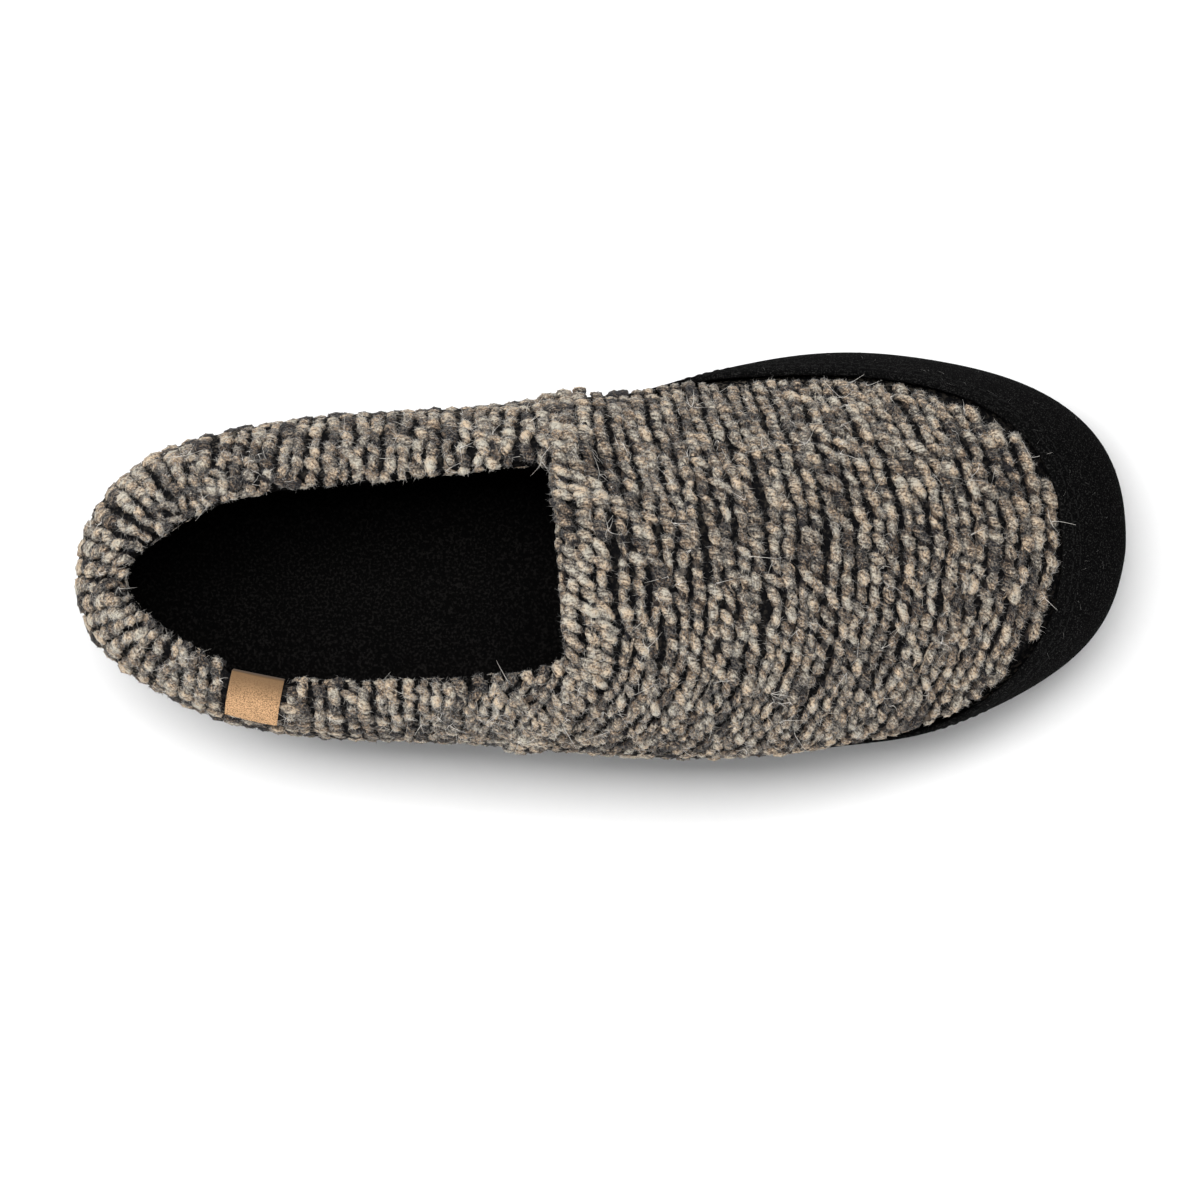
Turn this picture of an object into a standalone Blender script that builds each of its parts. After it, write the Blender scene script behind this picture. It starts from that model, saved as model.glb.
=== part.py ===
"""Right-foot moccasin slipper: knit upper with a rolled collar, suede rand, outsole, footbed and tab.

The shoe stands on the floor at Z = 0 with its toe along +X and its inner (medial) side along +Y.
Sizes are in millimetres and become metres where a mesh is made.
"""

from collections import namedtuple
import math

import bmesh
import bpy
import numpy as np

MM = 0.001

# Driving sizes of the last
UPPER_LENGTH = 283.4
BALL_WIDTH = 106.0
INSTEP_HEIGHT = 82.0
TOE_SIDESTEP = 8.8

# Wall of the upper: knit and fleece, doubled where the edge is folded over
WALL = 5.5
FOOT_WALL = 3.5
EDGE_WALL = 8.5
EDGE_REACH = 26.0

# Sole, with the places where its face leaves the floor as shares of the length
OUTSOLE_LIP = 4.0
LIP_ROUND = 1.2
ARCH_RISE = 2.5
ARCH_FROM = 0.29
ARCH_TO = 0.57
TOE_SPRING = 7.0
SPRING_FROM = 0.80
SPRING_CURVE = 1.8
HEEL_RISE = 1.5
HEEL_RISE_TO = 0.05

# Thickness of the sole along the shoe, without its arch
Thickness = namedtuple("Thickness", "along thick")
THICKNESSES = (
    Thickness(0.30, 17.0),
    Thickness(0.70, 13.0),
    Thickness(0.85, 13.0),
    Thickness(1.00, 10.5),
)

# Grooves across the tread
TREAD_DEPTH = 2.2
TREAD_WIDTH = 3.0
TREAD_PITCH = 11.0
Grooves = namedtuple("Grooves", "along count")
TREAD = (
    Grooves(0.085, 5),
    Grooves(0.585, 7),
)

# Rand, footbed and tab
RAND_THICK = 1.8
RAND_GAP = 0.75
FOOTBED_THICK = 4.5
FOOTBED_CUP = 1.5
FOOTBED_INSET = 1.0
FOOTBED_BEVEL = 4.5
FOOTBED_RIM = 14.0
TAB_WIDTH = 14.0
TAB_THICK = 1.3
TAB_OUTSIDE = 10.0
TAB_INSIDE = 1.5
TAB_ALONG = 0.177
TAB_TURN = math.radians(-12)
TAB_GAP = 0.5
TAB_STEPS = 5
TAB_ROWS = 14

# Clearance between pieces that meet
GAP = 0.3

# Roundness of the arch over the foot: higher is fuller
ARCH_FULL = 2.2

# Share of the wall below the widest line that the rand holds upright, and the rows that follow it
HELD = 0.55
FOOT_RISES = (0.0, HELD, 0.67, 0.80, 1.0)

# Ends of the straight spine that the arch is built over, as shares of the length
HEEL_SPINE = 0.157
TOE_SPINE = 0.8345

# Mesh density
STATIONS = 34
FOOT_ROWS = len(FOOT_RISES)
WALL_ROWS = 13
ROLL_STEPS = 5
RAND_ROWS = 10
DENSE = 1600

# Widest line of the upper, a row for each section from heel to toe, for the inner and the outer side.
# along is a share of the length, medial and lateral are shares of the ball width, and high is the height.
# tuck is how far the sole's edge lies inside that line, lean is 0.5 for an upright wall and more for a
# sloping one, and rand is how far the rand climbs the upper, in millimetres.
SECTION_COLUMNS = "along medial lateral high_m high_l tuck_m tuck_l lean_m lean_l rand_m rand_l"
Section = namedtuple("Section", SECTION_COLUMNS)
SECTIONS = (
    Section(0.019, 0.175, 0.175, 40.0, 40.0, 3.4, 3.4, 0.50, 0.50, 12, 12),
    Section(0.069, 0.300, 0.286, 40.0, 40.0, 3.4, 3.4, 0.50, 0.50, 12, 12),
    Section(0.146, 0.370, 0.379, 39.0, 39.0, 3.4, 3.4, 0.50, 0.50, 12, 12),
    Section(0.252, 0.413, 0.423, 38.0, 38.0, 3.4, 3.4, 0.50, 0.50, 12, 12),
    Section(0.376, 0.432, 0.436, 36.0, 37.0, 3.4, 3.4, 0.50, 0.50, 12, 12),
    Section(0.499, 0.460, 0.465, 32.0, 36.0, 3.0, 3.4, 0.53, 0.50, 12.5, 12),
    Section(0.548, 0.463, 0.473, 29.5, 35.5, 2.7, 3.4, 0.55, 0.50, 13.2, 12),
    Section(0.605, 0.499, 0.475, 24.5, 35.0, 1.5, 3.4, 0.61, 0.50, 17, 12),
    Section(0.729, 0.555, 0.443, 16.5, 33.0, 0.0, 2.8, 0.70, 0.50, 24, 13),
    Section(0.8345, 0.529, 0.368, 16.5, 26.0, 0.0, 1.0, 0.70, 0.54, 25, 16),
    Section(0.923, 0.456, 0.256, 19.0, 21.0, 0.0, 0.2, 0.65, 0.60, 29, 21),
    Section(0.979, 0.331, 0.119, 21.0, 21.0, 0.0, 0.0, 0.60, 0.60, 31, 27),
)
TipRow = namedtuple("TipRow", "high tuck lean rand")
HEEL_TIP = TipRow(40.0, 3.4, 0.50, 12)
TOE_TIP = TipRow(21.5, 0.0, 0.60, 30)

# Height of the ridge over the foot, as a share of the instep height
Ridge = namedtuple("Ridge", "along high")
RIDGES = (
    Ridge(0.00, 0.98),
    Ridge(0.15, 0.94),
    Ridge(0.25, 0.93),
    Ridge(0.37, 0.96),
    Ridge(0.47, 1.00),
    Ridge(0.60, 0.91),
    Ridge(0.73, 0.78),
    Ridge(0.84, 0.67),
    Ridge(0.92, 0.575),
    Ridge(1.00, 0.46),
)

# Line where the knit turns over into the rolled edge, from the heel's back to the throat, in the same shares
Fold = namedtuple("Fold", "along medial lateral")
FoldEnd = namedtuple("FoldEnd", "along side")
HEEL_FOLD = FoldEnd(0.034, -0.010)
COLLAR_FOLDS = (
    Fold(0.079, 0.138, -0.178),
    Fold(0.145, 0.236, -0.275),
    Fold(0.252, 0.283, -0.326),
    Fold(0.358, 0.312, -0.321),
)
THROAT_MEDIAL = FoldEnd(0.471, 0.352)
THROAT_LATERAL = FoldEnd(0.483, -0.292)
CORNER_ROUND = 11.0
CORNER_EASE = 4

COLOURS = {
    "outsole": (0.012, 0.012, 0.013, 0.75),
    "rand": (0.010, 0.010, 0.011, 0.95),
    "upper": (0.300, 0.255, 0.210, 0.95),
    "insole": (0.006, 0.006, 0.006, 1.00),
    "collar_tab": (0.500, 0.330, 0.180, 0.85),
}


def along_to_x(along):
    """Distance from the middle of the last for a share of its length."""
    return (np.asarray(along, float) - 0.5) * UPPER_LENGTH


def smooth_curve(rows, closed):
    """A cubic spline through the rows, spaced by the distance between their first two columns.

    Returns the spline as a function, and the parameter at each row and at the end.
    """
    rows = np.asarray(rows, float)
    if closed:
        rows = np.vstack([rows, rows[:1]])
    steps = np.hypot(*np.diff(rows[:, :2], axis=0).T)
    knots = np.concatenate([[0.0], np.cumsum(steps)])
    count = len(rows)
    system = np.zeros((count, count))
    right = np.zeros_like(rows)
    pulls = np.diff(rows, axis=0) / steps[:, None]
    for i in range(1, count - 1):
        before, after = 1 / steps[i - 1], 1 / steps[i]
        system[i, i - 1:i + 2] = before, 2 * (before + after), after
        right[i] = 3 * (pulls[i - 1] * before + pulls[i] * after)
    first, last = 1 / steps[0], 1 / steps[-1]
    system[0, :2] = 2 * first, first
    system[-1, -2:] = last, 2 * last
    right[0], right[-1] = 3 * pulls[0] * first, 3 * pulls[-1] * last
    if closed:
        system[0, -2:] = last, 2 * last
        right[0] += right[-1]
        system[-1] = 0
        system[-1, 0], system[-1, -1] = 1, -1
        right[-1] = 0
    slopes = np.linalg.solve(system, right)

    def at(place):
        place = np.atleast_1d(place)
        span = np.clip(np.searchsorted(knots, place, side="right") - 1, 0, count - 2)
        step = steps[span][:, None]
        t = (place - knots[span])[:, None] / step
        near, far = rows[span], rows[span + 1]
        bend_near, bend_far = slopes[span] * step, slopes[span + 1] * step
        rise = t * t * (3 - 2 * t)
        return near * (1 - rise) + far * rise + t * (1 - t) * (bend_near * (1 - t) - bend_far * t)

    return at, knots


def outline_rows():
    """The widest line's rows: heel tip, inner side to the toe, toe tip, outer side back to the heel."""
    heel = [along_to_x(0.0), 0.0, *HEEL_TIP]
    toe = [along_to_x(1.0), TOE_SIDESTEP, *TOE_TIP]
    inner = []
    outer = []
    for s in SECTIONS:
        inner.append([along_to_x(s.along), s.medial * BALL_WIDTH, s.high_m, s.tuck_m, s.lean_m, s.rand_m])
        outer.append([along_to_x(s.along), -s.lateral * BALL_WIDTH, s.high_l, s.tuck_l, s.lean_l, s.rand_l])
    return np.array([heel, *inner, toe, *outer[::-1]], float)


class Last:
    """The form that the shoe is built on, read at paired stations along its two sides.

    Points run round the shoe: heel tip, inner side's stations, toe tip, and the outer side's back again.
    """

    def __init__(self):
        rows = outline_rows()
        spline, knots = smooth_curve(rows, closed=True)
        toe_knot = knots[len(SECTIONS) + 1]
        inner = spline(np.linspace(0, toe_knot, DENSE))
        outer = spline(np.linspace(knots[-1], toe_knot, DENSE))
        walked = np.concatenate([[0], np.cumsum(np.hypot(*np.diff(inner[:, :2], axis=0).T))])
        even = np.linspace(0, walked[-1], STATIONS + 2)[1:-1]
        stations = np.interp(even, walked, inner[:, 0])
        ring = [inner[0]]
        ring += list(self.at_stations(inner, stations))
        ring += [inner[-1]]
        ring += list(self.at_stations(outer, stations)[::-1])
        ring = np.array(ring)
        self.count = len(ring)
        self.widest = ring[:, :2]
        self.high, self.tuck, self.lean, self.rand_climb = ring[:, 2:6].T
        ahead = np.roll(self.widest, -1, axis=0) - np.roll(self.widest, 1, axis=0)
        self.outward = np.column_stack([-ahead[:, 1], ahead[:, 0]])
        self.outward /= np.linalg.norm(self.outward, axis=1)[:, None]
        self.sole_edge = self.widest - self.outward * self.tuck[:, None]
        self.inner, self.outer = inner, outer
        self.toe_centre = self.spine_point(along_to_x(TOE_SPINE))
        self.heel_centre = self.spine_point(along_to_x(HEEL_SPINE))
        ridges = np.array(RIDGES)
        ridges = np.column_stack([along_to_x(ridges[:, 0]), ridges[:, 1] * INSTEP_HEIGHT])
        ridge, knots = smooth_curve(ridges, closed=False)
        self.ridge_line = ridge(np.linspace(0, knots[-1], DENSE))

    @staticmethod
    def at_stations(side, stations):
        return np.column_stack([np.interp(stations, side[:, 0], side[:, c]) for c in range(side.shape[1])])

    def spine_point(self, x):
        inner = np.interp(x, self.inner[:, 0], self.inner[:, 1])
        outer = np.interp(x, self.outer[:, 0], self.outer[:, 1])
        return np.array([x, (inner + outer) / 2])

    def ridge(self, x):
        """Height of the top of the foot at x."""
        return np.interp(x, *self.ridge_line.T)

    def reach(self, points):
        """How far out each plan point lies: 0 on the spine, 1 on the widest line."""
        x, y = points.T
        inner = np.interp(x, self.inner[:, 0], self.inner[:, 1])
        outer = np.interp(x, self.outer[:, 0], self.outer[:, 1])
        middle = (inner + outer) / 2
        half = np.maximum((inner - outer) / 2, 1e-6)
        out = np.abs(y - middle) / half
        ends = ((self.toe_centre, x > self.toe_centre[0]), (self.heel_centre, x < self.heel_centre[0]))
        for centre, beyond in ends:
            if beyond.any():
                out[beyond] = self.fan_reach(points[beyond], centre)
        return np.clip(out, 0, 1)

    def fan_reach(self, points, centre):
        """The same share for points beyond an end of the spine, measured along the ray from that end."""
        forward = math.copysign(1, centre[0])
        sides = [side[side[:, 0] * forward >= centre[0] * forward, :2] for side in (self.inner, self.outer)]
        rim = np.vstack(sides) - centre
        turn = np.arctan2(rim[:, 1], rim[:, 0] * forward)
        order = np.argsort(turn)
        away = points - centre
        far = np.interp(np.arctan2(away[:, 1], away[:, 0] * forward), turn[order], np.hypot(*rim.T)[order])
        return np.hypot(*away.T) / far

    def arch(self, points):
        """Height of the upper over plan points, one on each rib."""
        share = (1 - self.reach(points) ** ARCH_FULL) ** self.lean
        return self.high + (self.ridge(points[:, 0]) - self.high) * share


def arch_height(along):
    """Height of the hollow under the arch, which is flat at both its ends."""
    share = np.clip((along - ARCH_FROM) / (ARCH_TO - ARCH_FROM), 0, 1)
    return ARCH_RISE * np.sin(math.pi * share) ** 2


def bottom_height(x):
    """Height of the tread's face: flat under heel and ball, raised at arch, toe and the heel's back."""
    along = x / UPPER_LENGTH + 0.5
    toe = np.clip((along - SPRING_FROM) / (1 - SPRING_FROM), 0, None)
    heel = np.clip((HEEL_RISE_TO - along) / HEEL_RISE_TO, 0, None)
    return arch_height(along) + TOE_SPRING * toe ** SPRING_CURVE + HEEL_RISE * heel ** 2


def sole_top(x):
    """Height of the face that the upper and the footbed stand on."""
    along = x / UPPER_LENGTH + 0.5
    rows = np.array(THICKNESSES)
    return bottom_height(x) - arch_height(along) + np.interp(along, rows[:, 0], rows[:, 1])


def walk(points):
    """Distance walked along a plan line to each of its points."""
    return np.concatenate([[0.0], np.cumsum(np.hypot(*np.diff(points, axis=0).T))])


def rounded_corner(before, corner, after):
    """Points of a curve that leaves one line for another without reaching their corner."""
    t = np.linspace(0, 1, 41)[:, None]
    return before * (1 - t) ** 2 + corner * 2 * t * (1 - t) + after * t ** 2


def fold_line(last):
    """Plan point on the folded edge for each rib: collar behind the throat, throat in front of it."""
    corners = (THROAT_MEDIAL, THROAT_LATERAL)
    medial, lateral = [np.array([along_to_x(c.along), c.side * BALL_WIDTH]) for c in corners]
    heel = [along_to_x(HEEL_FOLD.along), HEEL_FOLD.side * BALL_WIDTH]
    inner = [[along_to_x(f.along), f.medial * BALL_WIDTH] for f in COLLAR_FOLDS]
    outer = [[along_to_x(f.along), f.lateral * BALL_WIDTH] for f in COLLAR_FOLDS]
    collar, knots = smooth_curve([lateral, *outer[::-1], heel, *inner, medial], closed=False)
    collar = collar(np.linspace(CORNER_ROUND, knots[-1] - CORNER_ROUND, DENSE))
    inset = (lateral - medial) * CORNER_ROUND / np.linalg.norm(lateral - medial)
    front_corner = rounded_corner(collar[-1], medial, medial + inset)
    back_corner = rounded_corner(lateral - inset, lateral, collar[0])
    loop = np.vstack([back_corner[20:], collar, front_corner, back_corner[:21]])
    walked = walk(loop)
    turn = walked[len(back_corner[20:]) + DENSE + 20]
    behind = last.widest[:, 0] <= along_to_x((THROAT_MEDIAL.along + THROAT_LATERAL.along) / 2)
    ring = np.arange(last.count)
    rear = np.concatenate([ring[behind & (ring > STATIONS)], ring[behind & (ring <= STATIONS)]])
    front = ring[~behind]
    place = np.zeros(last.count)
    place[rear] = np.linspace(0, turn, len(rear))
    place[front] = np.linspace(turn, walked[-1], len(front) + 2)[1:-1]
    return np.column_stack([np.interp(place, walked, loop[:, c]) for c in range(2)])


def unit(vectors):
    return vectors / np.maximum(np.linalg.norm(vectors, axis=-1, keepdims=True), 1e-9)


def grid_normals(grid):
    """Outward normals of a grid of points whose first axis runs round the shoe and second axis runs up."""
    around = np.roll(grid, -1, axis=0) - np.roll(grid, 1, axis=0)
    upward = np.gradient(grid, axis=1)
    return unit(np.cross(upward, around))


def eased_round(vectors, passes):
    """Unit vectors evened out with their neighbours round the shoe, so that the wall turns corners cleanly."""
    for _ in range(passes):
        vectors = (np.roll(vectors, -1, axis=0) + 2 * vectors + np.roll(vectors, 1, axis=0)) / 4
    return unit(vectors)


def outer_wall(last, fold, rises):
    """Points on the outside of the upper, ribs by rises: 0 at the sole, 1 at its widest, 2 at the fold."""
    count = rises.shape[1]
    points = np.zeros((last.count, count, 3))
    feather = sole_top(last.sole_edge[:, 0])
    for j in range(count):
        low = np.clip(rises[:, j], 0, 1)
        free = np.clip((low - HELD) / (1 - HELD), 0, 1)
        over = 1 - np.cos(np.clip(rises[:, j] - 1, 0, 1) * math.pi / 2)
        tucked = last.tuck * (1 - free * free * (3 - 2 * free))
        plan = last.widest - last.outward * tucked[:, None]
        plan = plan + (fold - last.widest) * over[:, None]
        climbing = feather + (last.high - feather) * low
        points[:, j, :2] = plan
        points[:, j, 2] = np.where(rises[:, j] > 1, last.arch(plan), climbing)
    return points


def wall_rises(last):
    over = np.linspace(1, 2, WALL_ROWS)[1:]
    return np.tile(np.concatenate([FOOT_RISES, over]), (last.count, 1))


def girth(grid):
    """Distance walked up each rib from its first point."""
    steps = np.linalg.norm(np.diff(grid, axis=1), axis=2)
    return np.concatenate([np.zeros((len(grid), 1)), np.cumsum(steps, axis=1)], axis=1)


def upper_profiles(last, fold):
    """Closed wall profile of every rib: up the outside, round the folded edge, down the inside."""
    outside = outer_wall(last, fold, wall_rises(last))
    normals = eased_round(grid_normals(outside), CORNER_EASE)
    walked = girth(outside)
    below_edge = walked[:, -1:] - walked
    thick = WALL + (EDGE_WALL - WALL) * np.clip(1 - below_edge / EDGE_REACH, 0, 1) ** 2
    thick = np.minimum(thick, FOOT_WALL + (WALL - FOOT_WALL) * walked / walked[:, FOOT_ROWS:FOOT_ROWS + 1])
    inside = outside - normals * thick[:, :, None]
    edge, inner_edge = outside[:, -1], inside[:, -1]
    middle = (edge + inner_edge) / 2
    along_edge = unit(np.roll(edge, -1, axis=0) - np.roll(edge, 1, axis=0))
    lip = eased_round(np.cross(along_edge, normals[:, -1]), CORNER_EASE) * (thick[:, -1:] / 2)
    roll = []
    for step in range(1, ROLL_STEPS):
        turn = math.pi * step / ROLL_STEPS
        roll.append(middle + (edge - middle) * math.cos(turn) + lip * math.sin(turn))
    return np.concatenate([outside, np.stack(roll, axis=1), inside[:, ::-1]], axis=1)


def rand_profiles(last, fold):
    """Closed profile of the rand at every rib: up its inner face from the sole's lip, down its outer face."""
    fine = np.tile(np.linspace(0, 2, 121), (last.count, 1))
    walked = girth(outer_wall(last, fold, fine))
    climbs = np.outer(last.rand_climb, np.linspace(0, 1, RAND_ROWS))
    rises = np.array([np.interp(climbs[i], walked[i], fine[i]) for i in range(last.count)])
    climbing = outer_wall(last, fold, rises)
    lip_top = bottom_height(last.sole_edge[:, 0]) + OUTSOLE_LIP + GAP
    seat = np.column_stack([last.sole_edge, lip_top])
    faces = np.concatenate([seat[:, None], climbing], axis=1)
    normals = grid_normals(faces)
    normals[:, 0] = np.concatenate([last.outward, np.zeros((last.count, 1))], axis=1)
    inner = faces + normals * RAND_GAP
    outer = faces + normals * (RAND_GAP + RAND_THICK)
    outer[:, 0, 2] = inner[:, 0, 2]
    return np.concatenate([inner, outer[:, ::-1]], axis=1)


def sole_rings(last):
    """Rings of the outsole from the tread's face to its top: lip for the rand, then the wall it wraps."""
    x = last.sole_edge[:, 0]
    bottom, top = bottom_height(x), sole_top(x)
    lip_out = RAND_GAP + RAND_THICK
    heights_and_offsets = (
        (bottom, lip_out - LIP_ROUND),
        (bottom + LIP_ROUND, lip_out),
        (bottom + OUTSOLE_LIP, lip_out),
        (bottom + OUTSOLE_LIP, 0.0),
        (top - GAP, 0.0),
    )
    return [np.column_stack([last.sole_edge + last.outward * out, high]) for high, out in heights_and_offsets]


def footbed_rings(last):
    """Rings of the footbed from its underside to its top, cupped up a little at the edge."""
    edge = last.sole_edge - last.outward * (FOOT_WALL + FOOTBED_INSET)
    top_edge = last.sole_edge - last.outward * (FOOT_WALL + FOOTBED_INSET + FOOTBED_BEVEL)
    field = last.sole_edge - last.outward * (FOOT_WALL + FOOTBED_RIM)
    low = sole_top(edge[:, 0])
    return [
        np.column_stack([edge, low]),
        np.column_stack([top_edge, sole_top(top_edge[:, 0]) + FOOTBED_THICK]),
        np.column_stack([field, sole_top(field[:, 0]) + FOOTBED_THICK - FOOTBED_CUP]),
    ]


def slice_across(profiles, ribs, point, direction):
    """Wall profile where an upright plane through a point cuts the given run of ribs."""
    off = (profiles[ribs, :, :2] - point) @ direction
    cut = np.zeros(profiles.shape[1:])
    for row in range(off.shape[1]):
        place = np.interp(0.0, off[:, row], np.arange(len(ribs)))
        low = min(int(place), len(ribs) - 2)
        near, far = profiles[ribs[low], row], profiles[ribs[low + 1], row]
        cut[row] = near + (far - near) * (place - low)
    return cut


def tab_profiles(profiles, rows_outside):
    """Closed profiles of the tab across its width, lying on the wall of the upper and over its edge."""
    outer_side = np.arange(profiles.shape[0] - 1, STATIONS + 2, -1)
    edge = profiles[outer_side, rows_outside - 1, :2]
    place = np.array([np.interp(along_to_x(TAB_ALONG), edge[:, 0], edge[:, c]) for c in range(2)])
    direction = np.array([math.cos(TAB_TURN), math.sin(TAB_TURN)])
    close = outer_side[np.abs((edge - place) @ direction) < 4 * TAB_WIDTH]
    shifts = np.linspace(-0.5, 0.5, TAB_STEPS) * TAB_WIDTH
    made = np.array([slice_across(profiles, close, place + direction * shift, direction) for shift in shifts])
    normals = unit(np.cross(np.gradient(made, axis=0), np.gradient(made, axis=1)))
    walked = girth(made)
    start = walked[:, rows_outside - 1] - TAB_OUTSIDE
    stop = walked[:, rows_outside + ROLL_STEPS - 1] + TAB_INSIDE
    closed = []
    for i in range(len(made)):
        stops = np.linspace(start[i], stop[i], TAB_ROWS)
        face = np.column_stack([np.interp(stops, walked[i], made[i, :, c]) for c in range(3)])
        out = unit(np.column_stack([np.interp(stops, walked[i], normals[i, :, c]) for c in range(3)]))
        near, far = face + out * TAB_GAP, face + out * (TAB_GAP + TAB_THICK)
        closed.append(np.concatenate([near, far[::-1]]))
    return np.array(closed)


def new_object(name, build, collection, parent):
    """A named mesh object whose bmesh is filled by build, with outward faces and its own material."""
    mesh = bpy.data.meshes.new(name)
    shape = bmesh.new()
    build(shape)
    bmesh.ops.scale(shape, vec=(MM, MM, MM), verts=shape.verts)
    bmesh.ops.recalc_face_normals(shape, faces=shape.faces)
    shape.to_mesh(mesh)
    shape.free()
    mesh.shade_smooth()
    mesh.set_sharp_from_angle(angle=math.radians(40))
    mesh.materials.append(plain_material(name))
    made = bpy.data.objects.new(name, mesh)
    made.parent = parent
    collection.objects.link(made)
    return made


def plain_material(name):
    *colour, rough = COLOURS[name]
    material = bpy.data.materials.new(name)
    material.use_nodes = True
    shader = material.node_tree.nodes["Principled BSDF"]
    shader.inputs["Base Color"].default_value = (*colour, 1.0)
    shader.inputs["Roughness"].default_value = rough
    return material


def loft(shape, profiles, closed_round):
    """Quads between neighbouring closed profiles, joined into a ring or capped at both ends."""
    rings = [[shape.verts.new(p) for p in profile] for profile in profiles]
    pairs = list(zip(rings, rings[1:]))
    if closed_round:
        pairs.append((rings[-1], rings[0]))
    for near, far in pairs:
        size = len(near)
        for j in range(size):
            k = (j + 1) % size
            shape.faces.new((near[j], near[k], far[k], far[j]))
    if not closed_round:
        shape.faces.new(rings[0])
        shape.faces.new(rings[-1][::-1])


def stack(shape, rings):
    """A solid between stacked rings that run round the shoe, closed by rungs across paired stations."""
    levels = [[shape.verts.new(p) for p in ring] for ring in rings]
    count = len(levels[0])
    for low, high in zip(levels, levels[1:]):
        for i in range(count):
            k = (i + 1) % count
            shape.faces.new((low[i], low[k], high[k], high[i]))
    for level in (levels[0], levels[-1]):
        for i in range(count // 2):
            corners = [level[i], level[i + 1], level[-i - 1], level[-i]]
            shape.faces.new(list(dict.fromkeys(corners)))


def tread_bars(parent):
    """Bars that cut the grooves across heel and forefoot."""
    cutters = bpy.data.collections.new("cutters")
    bpy.context.scene.collection.children.link(cutters)
    bars = bmesh.new()
    places = [along_to_x(row.along) + i * TREAD_PITCH for row in TREAD for i in range(row.count)]
    for x in places:
        made = bmesh.ops.create_cube(bars, size=1.0)["verts"]
        bmesh.ops.scale(bars, vec=(TREAD_WIDTH * MM, BALL_WIDTH * 2 * MM, TREAD_DEPTH * 2 * MM), verts=made)
        bmesh.ops.translate(bars, vec=(x * MM, 0, 0), verts=made)
    mesh = bpy.data.meshes.new("tread_bars")
    bars.to_mesh(mesh)
    bars.free()
    cutter = bpy.data.objects.new("tread_bars", mesh)
    cutter.parent = parent
    cutter.hide_render = True
    cutter.display_type = "WIRE"
    cutters.objects.link(cutter)
    return cutter


def centre_on_floor(root, parts):
    """Moves the parts' parent so that the whole shoe stands centred over the origin."""
    corners = np.array([v.co for part in parts for v in part.data.vertices])
    low, high = corners.min(axis=0), corners.max(axis=0)
    root.location = (-(low[0] + high[0]) / 2, -(low[1] + high[1]) / 2, -low[2])


def main():
    for old in list(bpy.data.objects):
        bpy.data.objects.remove(old)
    collection = bpy.data.collections.new("moccasin_slipper")
    bpy.context.scene.collection.children.link(collection)
    root = bpy.data.objects.new("slipper_frame", None)
    collection.objects.link(root)

    last = Last()
    fold = fold_line(last)
    walls = upper_profiles(last, fold)
    rows_outside = FOOT_ROWS + WALL_ROWS - 1
    tabs = tab_profiles(walls, rows_outside)

    parts = [
        new_object("upper", lambda shape: loft(shape, walls, True), collection, root),
        new_object("rand", lambda shape: loft(shape, rand_profiles(last, fold), True), collection, root),
        new_object("outsole", lambda shape: stack(shape, sole_rings(last)), collection, root),
        new_object("insole", lambda shape: stack(shape, footbed_rings(last)), collection, root),
        new_object("collar_tab", lambda shape: loft(shape, tabs, False), collection, root),
    ]
    outsole = bpy.data.objects["outsole"]
    grooves = outsole.modifiers.new("tread", "BOOLEAN")
    grooves.operation = "DIFFERENCE"
    grooves.object = tread_bars(root)
    centre_on_floor(root, parts)


main()
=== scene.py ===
"""Looks of a right-foot moccasin slipper: marled knit upper, fleece inside, suede rand and rubber sole.

The shoe stands on the floor with its toe along +X and its inner side along +Y.
Lines and meshes are worked out in millimetres and become metres where a mesh is made.
"""

import math
from collections import namedtuple
from types import SimpleNamespace

import bpy
import numpy as np
from mathutils.bvhtree import BVHTree
from mathutils.kdtree import KDTree
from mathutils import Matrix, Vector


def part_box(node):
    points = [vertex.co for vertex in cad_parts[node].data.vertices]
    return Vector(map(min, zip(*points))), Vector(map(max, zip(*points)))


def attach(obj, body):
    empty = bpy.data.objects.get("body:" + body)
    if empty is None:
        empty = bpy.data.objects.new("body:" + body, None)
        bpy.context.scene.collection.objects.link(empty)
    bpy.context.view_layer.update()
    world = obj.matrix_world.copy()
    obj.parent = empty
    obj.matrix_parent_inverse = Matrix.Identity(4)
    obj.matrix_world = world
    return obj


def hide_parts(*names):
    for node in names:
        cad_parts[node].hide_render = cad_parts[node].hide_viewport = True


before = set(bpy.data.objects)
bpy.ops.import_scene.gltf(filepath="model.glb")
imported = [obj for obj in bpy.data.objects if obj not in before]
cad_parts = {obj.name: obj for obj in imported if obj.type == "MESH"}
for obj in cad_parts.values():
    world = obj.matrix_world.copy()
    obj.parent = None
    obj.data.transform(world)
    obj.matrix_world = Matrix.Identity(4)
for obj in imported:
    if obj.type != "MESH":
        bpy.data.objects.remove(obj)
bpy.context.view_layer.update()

bl_info = {
    "name": "Moccasin slipper",
    "version": (1, 0, 0),
    "blender": (4, 5, 0),
    "location": "View3D > Sidebar > Slipper",
    "description": "Dresses the frame of a moccasin slipper in knit, fleece, suede and rubber",
    "category": "Object",
}

MM = 0.001

# Line through the room for the foot, from the heel to the toes
ROOM_HEEL = np.array([-98.0, -7.0, 44.0])
ROOM_TOE = np.array([95.0, 2.0, 28.0])

# The ribs of the quarters fan round a point in the heel, and cross the shoe in front of it
FAN = np.array([-100.0, -7.5])
FAN_RADIUS = 31.0

# Middle of the shoe that the height of the rand's edge is read round, the number of places, and their reach
RAND_MIDDLE = np.array([20.0, 0.0])
RAND_PLACES = 120
RAND_REACH = 1.6

# Slope of the throat across the shoe, and the middle of the foot at heel and toe
THROAT_SLOPE = 0.068
THROAT_MIDDLE = -7.0
TOE_MIDDLE = 6.0

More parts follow.
